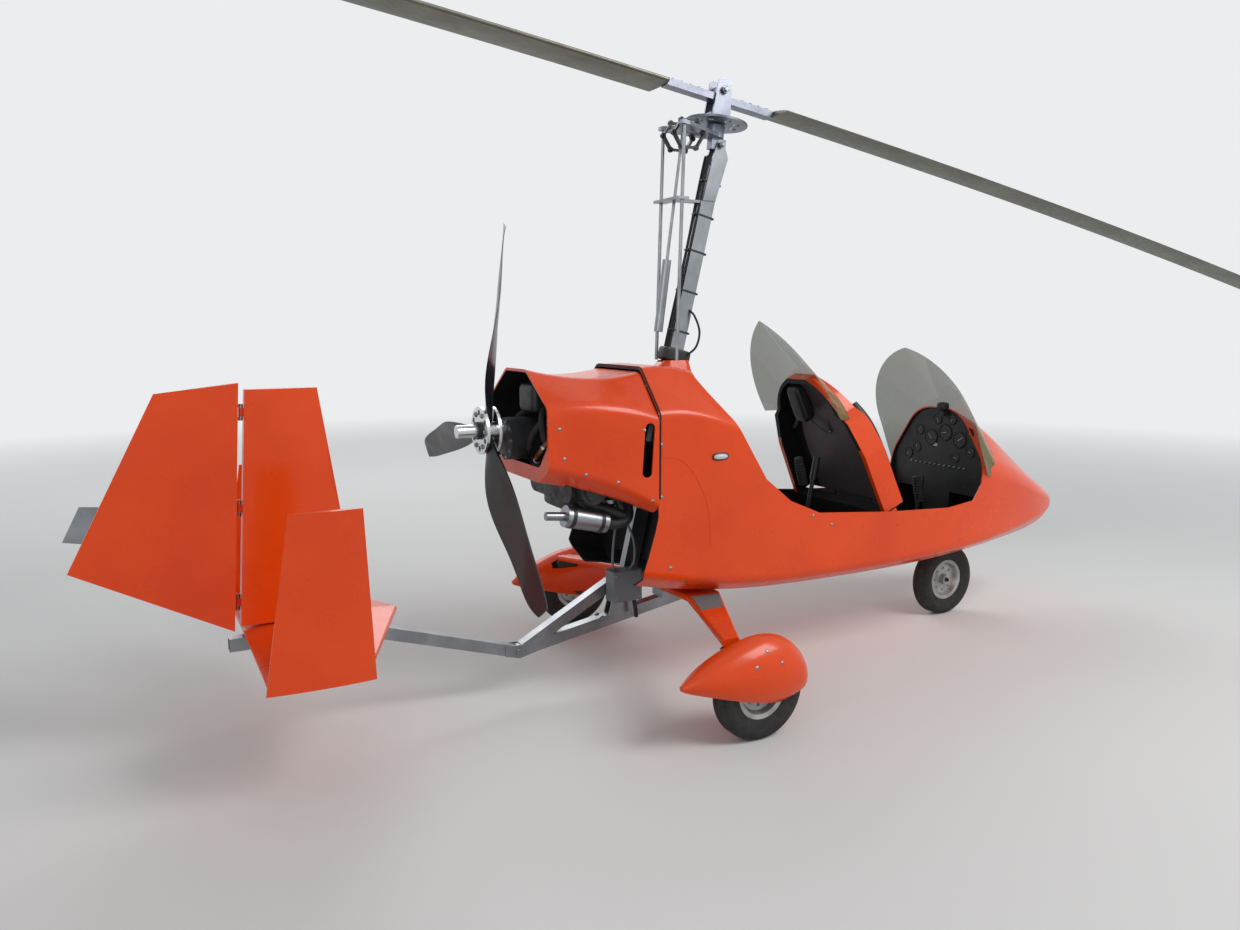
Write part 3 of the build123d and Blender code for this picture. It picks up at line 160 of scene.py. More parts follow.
# %% Gel coat
def orange_gel_coat():
    """Gloss orange gel coat over glass fibre, waxed, with a thin film of airfield dust."""
    material, tree, shader = start_material("gel_coat_orange", "#E0430A", 0, 0.26, Coat_Weight=0.2)
    shader.inputs["Coat Roughness"].default_value = 0.05
    shader.inputs["Specular IOR Level"].default_value = 0.3
    tint = blend_colours(tree, patches(tree, 420, 4), "#E84A08", "#D83F06")
    geometry = add_node(tree, "ShaderNodeNewGeometry")
    up = add_node(tree, "ShaderNodeSeparateXYZ", {"Vector": geometry.outputs["Normal"]}).outputs["Z"]
    film = {0: spread(tree, up, 0, 0.05, 0.2, 1.0), 1: spread(tree, grain(tree, 70, 4), 0.4, 1)}
    dust = add_node(tree, "ShaderNodeMath", film, operation="MULTIPLY").outputs["Value"]
    two_tone(tree, shader, dust, tint, "#E0825C")
    uneven_gloss(tree, shader, grain(tree, 120, 2), 0.26, 0.32)
    add_bump(tree, shader, grain(tree, 160, 1), 0.4, 0.15)
    return material


# %% [markdown]
# The mast and the keel are stainless tubes, drawn through a die and then brushed along their length.
# Fine lines along the tube break up the reflections, so the noise is stretched along the tube. Other
# steel parts are painted: powder fused to a satin film with a fine pebble, or sprayed grey enamel.
# One function builds every such finish. A noise is its width in millimetres, its detail and its
# stretch, and after it come the two values or colours between which it wanders.


# %% Steel
def surface(name, hex_colour, metallic, roughness, gloss=None, tones=None, relief=None, **sockets):
    """A finish whose gloss, tone and relief each follow a noise. A relief has a depth and a strength."""
    material, tree, shader = start_material(name, hex_colour, metallic, roughness, **sockets)
    if gloss:
        uneven_gloss(tree, shader, grain(tree, *gloss[0]), *gloss[1:])
    if tones:
        two_tone(tree, shader, patches(tree, *tones[0]), *tones[1:])
    if relief:
        add_bump(tree, shader, grain(tree, *relief[0]), *relief[1:])
    return material


brushed = (3, 4, (1, 1, 0.06))
finishes = {
    "orange_composite": orange_gel_coat(),
    "stainless_steel": surface(
        "stainless_brushed", "#8F9396", 1, 0.34,
        gloss=(brushed, 0.26, 0.42), tones=((120, 6), "#989CA0", "#7F8387"), relief=(brushed, 0.05, 0.3),
    ),
    "dark_steel": surface(
        "steel_powder_coated", "#1B1C1E", 0, 0.42, gloss=((30, 5), 0.36, 0.5), relief=((1.6, 2), 0.08, 0.5)
    ),
    "grey_paint": surface(
        "steel_grey_enamel", "#6D7276", 0, 0.45, gloss=((50, 5), 0.38, 0.55), relief=((3, 2), 0.06, 0.4)
    ),
}
print("steel and gel coat", len(finishes))

# %% [markdown]
# Aluminium looks different by how it was worked. A milled plate keeps the swirls of the cutter, a turned
# hub is almost a mirror, a sand casting is grainy, and an extruded blade has fine lines along its span.
# The engine's cases are cast too, under matt black paint that stands the heat.

# %% Aluminium
swirls, die_lines = (5, 3, (1, 0.2, 1)), (8, 4, (0.04, 1, 1))
finishes["anodised_alloy"] = surface(
    "aluminium_anodised", "#A9ADB2", 1, 0.38,
    gloss=(swirls, 0.3, 0.46), tones=((80, 4), "#9094A0", "#767A84"), relief=(swirls, 0.04, 0.3),
)
finishes["polished_alloy"] = surface("aluminium_turned", "#D2D4D6", 1, 0.2, gloss=((4, 2), 0.16, 0.28))
finishes["cast_alloy"] = surface(
    "aluminium_cast_silver", "#B4B6B8", 0.9, 0.42,
    gloss=((40, 5), 0.36, 0.55), tones=((55, 5), "#BBBDBF", "#94928D"), relief=((2.2, 3), 0.1, 0.5),
)
finishes["blade_alloy"] = surface(
    "aluminium_extruded_blade", "#77776C", 0.85, 0.4,
    gloss=(die_lines, 0.32, 0.5), tones=((260, 5), "#7E7E72", "#66655B"), relief=(die_lines, 0.05, 0.25),
)
finishes["dark_engine"] = surface(
    "cast_engine_black", "#232426", 0.1, 0.55, gloss=((45, 5), 0.38, 0.7), relief=((2.5, 4), 0.25, 0.6)
)
print("with aluminium", len(finishes))

# %% [markdown]
# Tyres are vulcanised rubber filled with carbon black. The rubber is matt, greys where dust sits in it,
# and shows faint moulding lines. The seat shells, sticks and panel are moulded black plastic with the
# mould's leather-like texture, and the propeller is carbon composite, sanded and painted satin black.

# %% Rubber, plastics and composite
finishes["tyre"] = surface(
    "rubber_tyre", "#1A1A1B", 0, 0.82, tones=((30, 7), "#161617", "#2E2C2A"), relief=((1.8, 3), 0.15, 0.6)
)
finishes["black_plastic"] = surface(
    "abs_moulded_black", "#17181A", 0, 0.5, gloss=((35, 4), 0.42, 0.58), relief=((1.4, 2), 0.12, 0.6)
)
finishes["black_composite"] = surface(
    "carbon_painted_satin", "#151618", 0, 0.36,
    gloss=((70, 5), 0.3, 0.44), relief=((6, 2), 0.05, 0.4), Coat_Weight=0.2,
)
print("with rubber and plastics", len(finishes))

# %% [markdown]
# The seat cloth is woven: two sets of ribs cross, and the higher one shows at each place. The screens
# are smoke-tinted acrylic sheet, 4 mm thick, mostly see-through and with a sharp gloss.


# %% Cloth and screens
def woven_seat_cover():
    """Coarse woven seat cloth. Its ribs are about 2.4 mm apart, and are drawn six times as wide to show."""
    material, tree, shader = start_material("cloth_woven_charcoal", "#26262A", 0, 0.9, Sheen_Weight=0.35)
    place = add_node(tree, "ShaderNodeTexCoord").outputs["Object"]
    rib_spacing = 0.01508
    ribs = {"Vector": place, "Scale": 2 * pi / (20 * rib_spacing), "Distortion": 1.0}
    warp = add_node(tree, "ShaderNodeTexWave", ribs, bands_direction="Y").outputs["Fac"]
    weft = add_node(tree, "ShaderNodeTexWave", ribs, bands_direction="DIAGONAL").outputs["Fac"]
    weave = add_node(tree, "ShaderNodeMath", {0: warp, 1: weft}, operation="MAXIMUM").outputs["Value"]
    two_tone(tree, shader, weave, "#1C1C20", "#33333A")
    add_bump(tree, shader, weave, 0.5, 0.6)
    return material


finishes["seat_fabric"] = woven_seat_cover()
finishes["tinted_screen"] = surface(
    "acrylic_smoke_tint", "#5C6626", 0, 0.06, gloss=((200, 1), 0.04, 0.07), Alpha=0.5, IOR=1.49
)
finishes["tinted_screen"].surface_render_method = "BLENDED"
print("materials", len(finishes))

# %% [markdown]
# Every carried-over solid takes the material of the slot that the record gives it. The meshes stay as
# they are.

# %% Finish of the solids
for part in frame["record"]["subparts"]:
    mesh = nodes[part["node"]].data
    mesh.materials.clear()
    mesh.materials.append(finishes[part["material_slot"]])

# %% [markdown]
# New pieces are surfaces on a grid of two parameters, as plain arrays of points. The simplest is a
# turned one: a profile of distances along an axis and radii from it, carried round that axis.


# %% Turned shapes
def unit(vector):
    """A vector, or each row of an array of them, divided by its length."""
    vector = np.asarray(vector, float)
    return vector / np.linalg.norm(vector, axis=-1, keepdims=True)


def across(axis):
    """Two directions at right angles to each axis and to each other."""
    axis = unit(axis)
    near = np.where(np.abs(axis[..., 2:]) > 0.9, (1.0, 0.0, 0.0), (0.0, 0.0, 1.0))
    side = unit(np.cross(near, axis))
    return side, np.cross(axis, side)


def round_angles(steps):
    """Equal steps of angle all the way round."""
    return np.linspace(0, 2 * pi, steps, endpoint=False)


def turned(profile, centre=(0, 0, 0), axis=(0, 0, 1), steps=32):
    """Turned shape: centre + along * axis + radius * (side * cos t + up * sin t), rows (along, radius)."""
    profile = np.asarray(profile, float)
    side, up = across(axis)
    t = round_angles(steps)
    ring = np.outer(np.cos(t), side) + np.outer(np.sin(t), up)
    return np.asarray(centre, float) + profile[:, :1, None] * unit(axis) + profile[:, 1:, None] * ring


# %% [markdown]
# Hoses, wires and straps are a section carried along a path. The path is a smooth curve through a few
# points that are easy to read off, and the section is turned to stay square to it.


# %% Paths and sections
def smooth_path(points, steps=8):
    """Catmull-Rom curve: each stretch blends its four nearest points with cubic weights."""
    points = np.asarray(points, float)
    ends = 2 * points[:1] - points[1:2], 2 * points[-1:] - points[-2:-1]
    padded = np.concatenate([ends[0], points, ends[1]])
    t = np.linspace(0, 1, steps, endpoint=False)[:, None, None]
    a, b, c, d = padded[:-3], padded[1:-2], padded[2:-1], padded[3:]
    curve = b + 0.5 * ((c - a) * t + (2 * a - 5 * b + 4 * c - d) * t**2 + (3 * b - a - 3 * c + d) * t**3)
    return np.concatenate([curve.transpose(1, 0, 2).reshape(-1, 3), points[-1:]])


def swept(path, section, near=(0, 0, 1), size=1.0):
    """Section along a path: point = path + size * (a * side + b * up), with side = direction x near."""
    path = np.asarray(path, float)
    ahead = unit(np.gradient(path, axis=0))
    side = unit(np.cross(ahead, near))
    up = np.cross(side, ahead)
    a, b = np.asarray(section, float).T
    size = np.broadcast_to(size, len(path))[:, None, None]
    rings = path[:, None] + size * (a[:, None] * side[:, None] + b[:, None] * up[:, None])
    return np.concatenate([path[:1, None] + 0 * rings[:1], rings, path[-1:, None] + 0 * rings[:1]])


def round_section(radius, steps=12):
    """Circle as rows of (a, b)."""
    t = round_angles(steps)
    return radius * np.stack([np.cos(t), np.sin(t)], axis=1)


def strip_section(width, thickness):
    """Flat strip whose outer face is gently domed, as rows of (a, b)."""
    w, t = width / 2, thickness
    return np.array([(-w, 0), (w, 0), (w, 0.6 * t), (0.6 * w, t), (-0.6 * w, t), (-w, 0.6 * t)])


def tube(points, radius, steps=12, near=(0, 0, 1), path_steps=8):
    """A round hose or wire along the smooth curve through the points."""
    return swept(smooth_path(points, path_steps), round_section(radius, steps), near)


# %% [markdown]
# Boxes with soft edges are superellipsoids, flat plates are an outline stacked at six heights, and a
# shape that is repeated is worked out once and set at all its places in one step.


# %% Blocks, plates and repeats
def rounded_block(centre, half, axes=np.eye(3), sharp=0.25, rows=17, columns=32):
    """Superellipsoid: half * (cos^s v cos^s u, cos^s v sin^s u, sin^s v), turned to the rows of axes."""
    v = np.linspace(-pi / 2, pi / 2, rows)[:, None]
    u = round_angles(columns)[None]
    parts = np.broadcast_arrays(np.cos(v) * np.cos(u), np.cos(v) * np.sin(u), np.sin(v) + 0 * u)
    flat = np.round(np.stack([np.cos(v) + 0 * u, np.cos(u) + 0 * v, np.sin(u) + 0 * v, parts[2]]), 9)
    bent = np.sign(flat) * np.abs(flat) ** sharp
    local = np.stack([bent[0] * bent[1], bent[0] * bent[2], bent[3]], axis=-1) * np.asarray(half, float)
    return np.asarray(centre, float) + local @ np.asarray(axes, float)


def plate(outline, thickness, origin, axes, chamfer=0.0008):
    """Flat plate: a convex outline at six heights, with small chamfers, closed to its middle."""
    outline = np.asarray(outline, float)
    middle = outline.mean(axis=0)
    away = outline - middle
    inset = middle + away * (1 - chamfer / np.linalg.norm(away, axis=1, keepdims=True))
    rings = np.stack([middle + 0 * away, inset, outline, outline, inset, middle + 0 * away])
    heights = np.array([0, 0, chamfer, thickness - chamfer, thickness, thickness])
    depth = np.broadcast_to(heights[:, None, None], rings.shape[:2] + (1,))
    return np.asarray(origin, float) + np.concatenate([rings, depth], axis=2) @ np.asarray(axes, float)


def stamped(template, places, directions):
    """The template once at each place, with its own z along the direction there."""
    places = np.asarray(places, float)
    directions = unit(np.broadcast_to(directions, places.shape))
    side, up = across(directions)
    frames = np.stack([side, up, directions], axis=1)
    return np.einsum("rci,kij->krcj", template, frames) + places[:, None, None]


def closed_ends(grid):
    """The grid with a further row at each end that lies on the middle of its first or last row."""
    middle = grid.mean(axis=1, keepdims=True)
    return np.concatenate([middle[:1] + 0 * grid[:1], grid, middle[-1:] + 0 * grid[:1]])


# %% [markdown]
# One helper makes a piece of such grids. Neighbouring points become quads, doubles are merged, and edges
# sharper than 35 degrees stay sharp. Then the piece rides on its body, with the finish given or its slot's.


# %% One piece from grids
crease_angle = radians(35)


def dress(name, surfaces, slot, body="airframe", finish=None, replaces=()):
    """Makes one object of grids: quads between neighbours, with every row closed into a ring."""
    points, quads, start = [], [], 0
    for surface in surfaces:
        rows, columns = surface.shape[-3:-1]
        copies = surface.reshape(-1, rows * columns, 3)
        row, column = np.mgrid[0:rows - 1, 0:columns]
        after = (column + 1) % columns
        corners = (row * columns + column, row * columns + after)
        cells = np.stack([*corners, corners[1] + columns, corners[0] + columns], axis=-1).reshape(-1, 4)
        starts = start + np.arange(len(copies)) * rows * columns
        points.append(copies.reshape(-1, 3))
        quads.append((cells[None] + starts[:, None, None]).reshape(-1, 4))
        start += copies.shape[0] * rows * columns
    mesh = bpy.data.meshes.new(name)
    mesh.from_pydata(np.concatenate(points).tolist(), [], np.concatenate(quads).tolist())
    shell = bmesh.new()
    shell.from_mesh(mesh)
    bmesh.ops.remove_doubles(shell, verts=shell.verts, dist=1e-6)
    bmesh.ops.recalc_face_normals(shell, faces=shell.faces)
    shell.to_mesh(mesh)
    shell.free()
    mesh.shade_smooth()
    mesh.set_sharp_from_angle(angle=crease_angle)
    mesh.materials.append(finish or finishes[slot])
    piece = bpy.data.objects.new(name, mesh)
    bpy.context.scene.collection.objects.link(piece)
    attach(piece, body)
    if replaces:
        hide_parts(*replaces)
    print(name, len(mesh.polygons), "faces on", body)
    return piece


# %% [markdown]
# Bolts and screws sit on real surfaces. A straight line is sent at a solid, and where it lands gives
# the place and the direction of the head, so that no fastener floats or sinks.


# %% Fasteners
def land(node, starts, toward):
    """Where straight lines from the starts first meet a solid, and its surface's direction there."""
    hits = [nodes[node].ray_cast(tuple(start), tuple(toward)) for start in np.asarray(starts, float)]
    kept = [hit for hit in hits if hit[0]]
    if len(kept) < len(hits):
        print(node, "missed by", len(hits) - len(kept), "lines")
    return np.array([hit[1] for hit in kept]), np.array([hit[2] for hit in kept])


hex_head = turned([(0.2, 0), (0.2, 1), (0.85, 1), (1.0, 0.82), (1.0, 0)], steps=6)
washer = turned([(-0.2, 0), (-0.2, 1.4), (0.18, 1.4), (0.26, 1.3), (0.26, 0)], steps=16)
dome_head = turned([(-0.1, 0), (-0.1, 1), (0.12, 1), (0.34, 0.8), (0.48, 0.42), (0.5, 0.0)], steps=12)


sides = ((-1, "starboard"), (1, "port"))


def bolts(name, places, directions, radius, body="airframe"):
    """Hexagon heads on washers."""
    heads = [stamped(shape * radius, places, directions) for shape in (washer, hex_head)]
    return dress(name, heads, "stainless_steel", body)


def screws(name, places, directions, radius, slot="stainless_steel"):
    """Low domed heads."""
    return dress(name, [stamped(dome_head * radius, places, directions)], slot)


# %% [markdown]
# The seats are foam covered with cloth, sewn round the edge and in channels. The solid pad is remeshed,
# pulled in a little, and blown up again as cloth, which crowns the faces and rounds the sides as foam
# does. Each pad is given with the way that it faces and the way that runs along it.

# %% Seat pads
front_lean, rear_lean = radians(24.5), radians(20)
pad_sources = {
    "seat_cushion_front": ((0, 0, 1), (1, 0, 0)),
    "seat_cushion_rear": ((0, 0, 1), (1, 0, 0)),
    "seat_back_front": ((-cos(front_lean), 0, -sin(front_lean)), (-sin(front_lean), 0, cos(front_lean))),
    "seat_back_rear": ((cos(rear_lean), 0, sin(rear_lean)), (-sin(rear_lean), 0, cos(rear_lean))),
}
pad_inset = 0.009


def read_points(mesh):
    """All vertices as rows."""
    points = np.empty(len(mesh.vertices) * 3)
    mesh.vertices.foreach_get("co", points)
    return points.reshape(-1, 3)


def start_pad(source):
    """A copy of the solid pad, remeshed with 6 mm faces and pulled in along its normals."""
    mesh = nodes[source].data.copy()
    shell = bmesh.new()
    shell.from_mesh(mesh)
    bmesh.ops.remove_doubles(shell, verts=shell.verts, dist=1e-5)
    shell.to_mesh(mesh)
    shell.free()
    piece = bpy.data.objects.new(source + "_cover", mesh)
    bpy.context.scene.collection.objects.link(piece)
    remesh = piece.modifiers.new("even_faces", "REMESH")
    remesh.mode = "VOXEL"
    remesh.voxel_size = 0.006
    graph = bpy.context.evaluated_depsgraph_get()
    piece.data = bpy.data.meshes.new_from_object(piece.evaluated_get(graph))
    piece.modifiers.clear()
    normals = np.empty(len(piece.data.vertices) * 3)
    piece.data.vertex_normals.foreach_get("vector", normals)
    piece.data.vertices.foreach_set("co", read_points(piece.data).ravel() - pad_inset * normals)
    return piece


covers = {source: start_pad(source) for source in pad_sources}
print("pads", {source: len(piece.data.vertices) for source, piece in covers.items()})

# %% [markdown]
# The covers swell as cloth under a light air pressure, for 20 frames without gravity.

# %% Swelling of the pads
for piece in covers.values():
    cloth = piece.modifiers.new("swell", "CLOTH")
    cloth.settings.use_pressure = True
    cloth.settings.uniform_pressure_force = 4
    cloth.settings.effector_weights.gravity = 0
for frame_number in range(1, 21):
    bpy.context.scene.frame_set(frame_number)
graph = bpy.context.evaluated_depsgraph_get()
swollen = {source: read_points(piece.evaluated_get(graph).data) for source, piece in covers.items()}
bpy.context.scene.frame_set(1)
print("cloth run for", len(swollen), "pads")

# %% [markdown]
# What the cloth moved is limited, and it fades out towards the flat side. Then the seams are pressed
# in as smooth dents: channels across the pad, and a line inside each side edge.

# %% Seams of the pads
pad_swell = 0.024
channel_count, channel_depth, channel_width = 5, 0.007, 0.006
border_inset = 0.055
for source, (out, along) in pad_sources.items():
    piece = covers[source]
    out, along = unit(out), unit(along)
    start = read_points(piece.data)
    height = start @ out
    reach = (height - height.min()) / (height.max() - height.min())
    moved = start
    piece.modifiers.clear()
    shift = swollen[source] - start
    length = np.linalg.norm(shift, axis=1, keepdims=True)
    shift = shift * np.minimum(1, pad_swell / np.maximum(length, 1e-9))
    rest = np.clip(reach * 4, 0, 1)[:, None]
    moved = start + shift * rest + (1 - rest) * out * np.maximum((shift @ out), 0)[:, None] * 0.2
    run = moved @ along
    span = run.max() - run.min()
    width = np.abs(moved[:, 1])
    channels = np.abs((run - run.min()) / span * channel_count - channel_count / 2) % 1.0
    channels = np.minimum(channels, 1 - channels) * span / channel_count
    border = np.abs(width - width.max() + border_inset)
    groove = np.exp(-((channels / channel_width) ** 2)) * (width < width.max() - border_inset + 0.005)
    groove = np.maximum(groove, np.exp(-((border / channel_width) ** 2)))
    moved = moved - channel_depth * (groove * np.clip(reach * 3 - 1.6, 0, 1))[:, None] * out
    piece.data.vertices.foreach_set("co", moved.ravel())
    piece.data.shade_smooth()
    piece.data.materials.clear()
    piece.data.materials.append(finishes["seat_fabric"])
    finer = piece.modifiers.new("finer", "SUBSURF")
    finer.levels = finer.render_levels = 1
    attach(piece, "airframe")
    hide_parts(source)
    print(piece.name, len(piece.data.vertices), "vertices")

# %% [markdown]
# The tyres are moulded with straight circumferential grooves. A tyre is its own profile turned round
# the axle: the profile runs from bead to bead over the tread, and each groove is a short step inwards.
# Eight bolts on each side hold the halves of a rim together.

# %% Tyres
section_radius, section_centre, tread_radius = 0.048, 0.152, 0.1998
groove_depth = 0.0035
tread_angle = np.linspace(-1.15, 1.15, 61)
grooves = np.clip(np.cos(tread_angle * 9.6) * 6 - 4.6, 0, 1) * (np.abs(tread_angle) < 0.85)
bead_turn = tread_angle * pi / 2.3
crown = section_centre + section_radius * np.cos(bead_turn) + 0.006 * np.cos(tread_angle * 1.2)
crown = np.minimum(crown, tread_radius) - groove_depth * grooves
beads = [(-0.034, 0.1135), (0.034, 0.1135), (0, 0.1135)]
tread = np.stack([section_radius * np.sin(bead_turn), crown], 1)
tyre_profile = np.concatenate([beads[:1], tread, beads[1:], beads[:1]])
tyres = (
    ("tyre_left", (-0.35, 0.848, 0.2), "main_wheel_left"),
    ("tyre_right", (-0.35, -0.848, 0.2), "main_wheel_right"),
    ("tyre_nose", (1.572, 0, 0.2), "nose_wheel"),
)
for node, centre, body in tyres:
    dress(node + "_tread", [turned(tyre_profile, centre, (0, 1, 0), 96)], "tyre", body, replaces=(node,))
    rim_bolts = turned([(0, 0.062)], centre, (0, 1, 0), 8)[0]
    for side, label in sides[::-1]:
        starts = rim_bolts + (0, side * 0.5, 0)
        places, directions = land(node.replace("tyre", "wheel_rim"), starts, (0, -side, 0))
        bolts(f"{node}_rim_bolts_{label}", places, directions, 0.0055, body)

# %% [markdown]
# Inside, the cockpit is lined black, while the hull outside is orange. The tub is one moulding, so one
# material tells the two apart: a wall that faces the middle plane is lining, and so is the floor.

# %% Lining of the cockpit
divider_foot = np.array([0.847, 0, 0.56])


def lined_gel_coat(name, middle_z, extra=None):
    """Orange outside, black inside: a face is inside where y * normal y + (z - middle) * normal z < 0."""
    material = finishes["orange_composite"].copy()
    material.name = name
    tree = material.node_tree
    shader = tree.nodes["Principled BSDF"]
    geometry = add_node(tree, "ShaderNodeNewGeometry")
    normal = add_node(tree, "ShaderNodeSeparateXYZ", {"Vector": geometry.outputs["Normal"]}).outputs
    place = add_node(tree, "ShaderNodeTexCoord").outputs["Object"]
    place = add_node(tree, "ShaderNodeSeparateXYZ", {"Vector": place}).outputs

    def calculate(operation, first, second):
        return add_node(tree, "ShaderNodeMath", {0: first, 1: second}, operation=operation).outputs["Value"]

    sideways = calculate("MULTIPLY", place["Y"], normal["Y"])
    upright = calculate("MULTIPLY", calculate("SUBTRACT", place["Z"], middle_z), normal["Z"])
    lining = calculate("LESS_THAN", calculate("ADD", sideways, upright), -0.012)
    if extra:
        lining = calculate("MAXIMUM", lining, extra(calculate, place, normal))
    old = shader.inputs["Base Color"].links[0].from_socket
    two_tone(tree, shader, lining, old, "#141417")
    rough = shader.inputs["Roughness"].links[0].from_socket
    mixed = add_node(tree, "ShaderNodeMix", {0: lining, 2: rough, 3: 0.75}).outputs[0]
    tree.links.new(mixed, shader.inputs["Roughness"])
    return material


def firewall(calculate, place, normal):
    """Faces that look aft in the engine bay, behind the rear seat."""
    aft = calculate("LESS_THAN", normal["X"], -0.5)
    return calculate("MULTIPLY", aft, calculate("LESS_THAN", place["X"], 0.5))


def dish(calculate, place, normal):
    """Aft faces inside the divider's rim, where x from its foot * cos lean + z * sin lean > 10 mm."""
    along = calculate("MULTIPLY", calculate("SUBTRACT", place["X"], divider_foot[0]), cos(front_lean))
    rise = calculate("MULTIPLY", calculate("SUBTRACT", place["Z"], divider_foot[2]), sin(front_lean))
    deep = calculate("GREATER_THAN", calculate("ADD", along, rise), 0.01)
    aft = calculate("MULTIPLY", calculate("LESS_THAN", normal["X"], -0.5), deep)
    return calculate("MAXIMUM", aft, calculate("LESS_THAN", place["Z"], 0.7145))


nodes["fuselage_tub"].data.materials[0] = lined_gel_coat("gel_coat_lined_tub", 0.7, firewall)
nodes["engine_cowl"].data.materials[0] = lined_gel_coat("gel_coat_lined_cowl", 1.15)
nodes["seat_divider"].data.materials[0] = lined_gel_coat("gel_coat_lined_divider", 1.0, dish)
print("cockpit, cowl and divider lined")

# %% [markdown]
# The divider carries a trim panel on its aft side, moulded from plastic sheet. It is narrower than the
# dish that it sits in, so the black lining shows round it. On it are a small head cushion, two grab
# straps held by screws, and a slot for the belt. All of them are laid out in the divider's own plane.

# %% Trim of the divider
lean_sin, lean_cos = sin(front_lean), cos(front_lean)
divider_axes = np.array([(0, 1, 0), (-lean_sin, 0, lean_cos), (-lean_cos, 0, -lean_sin)])
face_depth = 0.092


def on_divider(side, rise, proud=0.0):
    """A point on the dish's floor, from its place across and up, and its height above the floor."""
    depth = np.interp(rise, [0.605, 0.9], [face_depth, face_depth - 0.07]) - proud
    parts = np.stack(np.broadcast_arrays(side, rise, -depth), axis=-1)
    return divider_foot + parts @ divider_axes


def plain_material(name, hex_colour, metallic, roughness, lump, bump, **sockets):
    """A moulded or painted finish: a slight change of tone, an uneven gloss and a fine relief."""
    base = linear(hex_colour)
    darker = tuple(0.82 * value for value in base[:3]) + (1.0,)
    gloss = ((lump * 8, 4), roughness * 0.85, min(1, roughness * 1.2))
    tones = ((lump * 12, 5), base, darker)
    return surface(name, hex_colour, metallic, roughness, gloss, tones, ((lump, 3), bump, 0.5), **sockets)


trim_sheet = plain_material("abs_sheet_grey_brown", "#574D50", 0, 0.42, 2.0, 0.1)
trim_outline = np.array([
    (0.17, 0.225), (0.48, 0.215), (0.655, 0.185), (0.695, 0.15), (0.795, 0.11), (0.836, 0.06),
])
trim_rise = np.linspace(0.174, 0.835, 40)[:, None]
trim_half = np.interp(trim_rise, trim_outline[:, 0], trim_outline[:, 1])
trim_edge = np.concatenate([np.linspace(-1, 1, 15), np.linspace(1, -1, 15)])
trim_proud = np.repeat([0.004, -0.002], 15)
trim_grid = closed_ends(on_divider(trim_half * trim_edge, trim_rise + 0 * trim_edge, trim_proud))
dress("divider_trim_panel", [trim_grid], "black_plastic", finish=trim_sheet)

cushion = rounded_block(on_divider(0.055, 0.735, 0.04), (0.05, 0.1, 0.036), divider_axes, 0.45, 25, 48)
dress("divider_head_cushion", [cushion], "black_plastic")
grab_points = {
    "far": [(0.145, 0.700), (0.165, 0.655), (0.195, 0.600), (0.235, 0.560), (0.262, 0.545)],
    "near": [(0.100, 0.700), (0.085, 0.645), (0.060, 0.590), (0.015, 0.555), (-0.030, 0.548)],
}
for label, table in grab_points.items():
    across_up = np.array(table)
    arch = 0.02 * np.sin(np.linspace(0.25, pi - 0.2, len(table)))
    path = smooth_path(on_divider(*across_up.T, 0.006 + arch))
    strap = swept(path, strip_section(0.017, 0.007), divider_axes[2])
    dress(f"divider_grab_strap_{label}", [strap], "black_plastic", finish=trim_sheet)
strap_ends = np.array([grab_points["far"][-1], grab_points["far"][0], *grab_points["near"][::4]])
strap_ends = on_divider(*strap_ends.T, 0.006)
screws("divider_strap_screws", strap_ends + 0.012 * divider_axes[2], divider_axes[2], 0.007)
slot_outline = np.array([(-0.009, -0.058), (0.009, -0.058), (0.009, 0.058), (-0.009, 0.058)])
belt_slot = plate(slot_outline, 0.004, on_divider(0.035, 0.60, 0.002) + (0, -0.06, 0), divider_axes)
dress("divider_belt_slot", [belt_slot], "dark_steel")

# %% [markdown]
# The instrument panel has turned bezels with a glass and a dial. Real dials differ in what they show.
# Here each has a ring of pale ticks and one pointer, which is generic, and no lettering.

# %% Instruments
panel_x, large_dial, small_dial = 1.492, 0.040, 0.026
dial_table = (
    (0.055, 1.010, large_dial, 40), (-0.145, 1.014, large_dial, -60), (-0.045, 1.045, large_dial, 100),
    (0.155, 0.945, small_dial, 20), (0.012, 1.115, small_dial, 200), (-0.090, 1.120, small_dial, 150),
    (-0.222, 0.955, small_dial, 70), (0.140, 1.045, small_dial, -30), (-0.120, 0.915, small_dial, 250),
    (0.215, 0.905, small_dial, 130), (-0.215, 1.055, small_dial, 10),
)
bezel_shape = np.array([(0, 0), (0, 1.12), (0.12, 1.15), (0.2, 1.08), (0.2, 0.95), (0.08, 0.9), (0.08, 0)])
needle = np.array([(-0.2, -0.04), (0.72, -0.015), (0.72, 0.015), (-0.2, 0.04)])
tick = rounded_block((0, 0, 0), (0.0007, 0.0012, 0.0007), np.eye(3), 0.5, 5, 8) / 0.03
t = round_angles(12)
spokes = np.stack([0 * t, np.sin(t), np.cos(t)], axis=1)
bezels, ticks, pointers = [], [], []
for y, z, radius, turn in dial_table:
    centre = np.array([panel_x, y, z])
    bezels.append(turned(bezel_shape * radius, centre, (-1, 0, 0), 32))
    ticks.append(tick * radius + (centre + 0.78 * radius * spokes + (-0.083 * radius, 0, 0))[:, None, None])
    hand = np.array([0, sin(radians(turn)), cos(radians(turn))])
    hand_axes = np.array([hand, np.cross(hand, (-1, 0, 0)), (-1, 0, 0)])
    pointers.append(plate(needle * radius, 0.0008, centre + (-0.09 * radius, 0, 0), hand_axes, 0.0001))
dress("panel_bezels", bezels, "black_plastic")
dial_white = plain_material("enamel_dial_white", "#D8D8D2", 0, 0.5, 1.5, 0.02)
dress("panel_dial_ticks", ticks + pointers, "grey_paint", finish=dial_white)

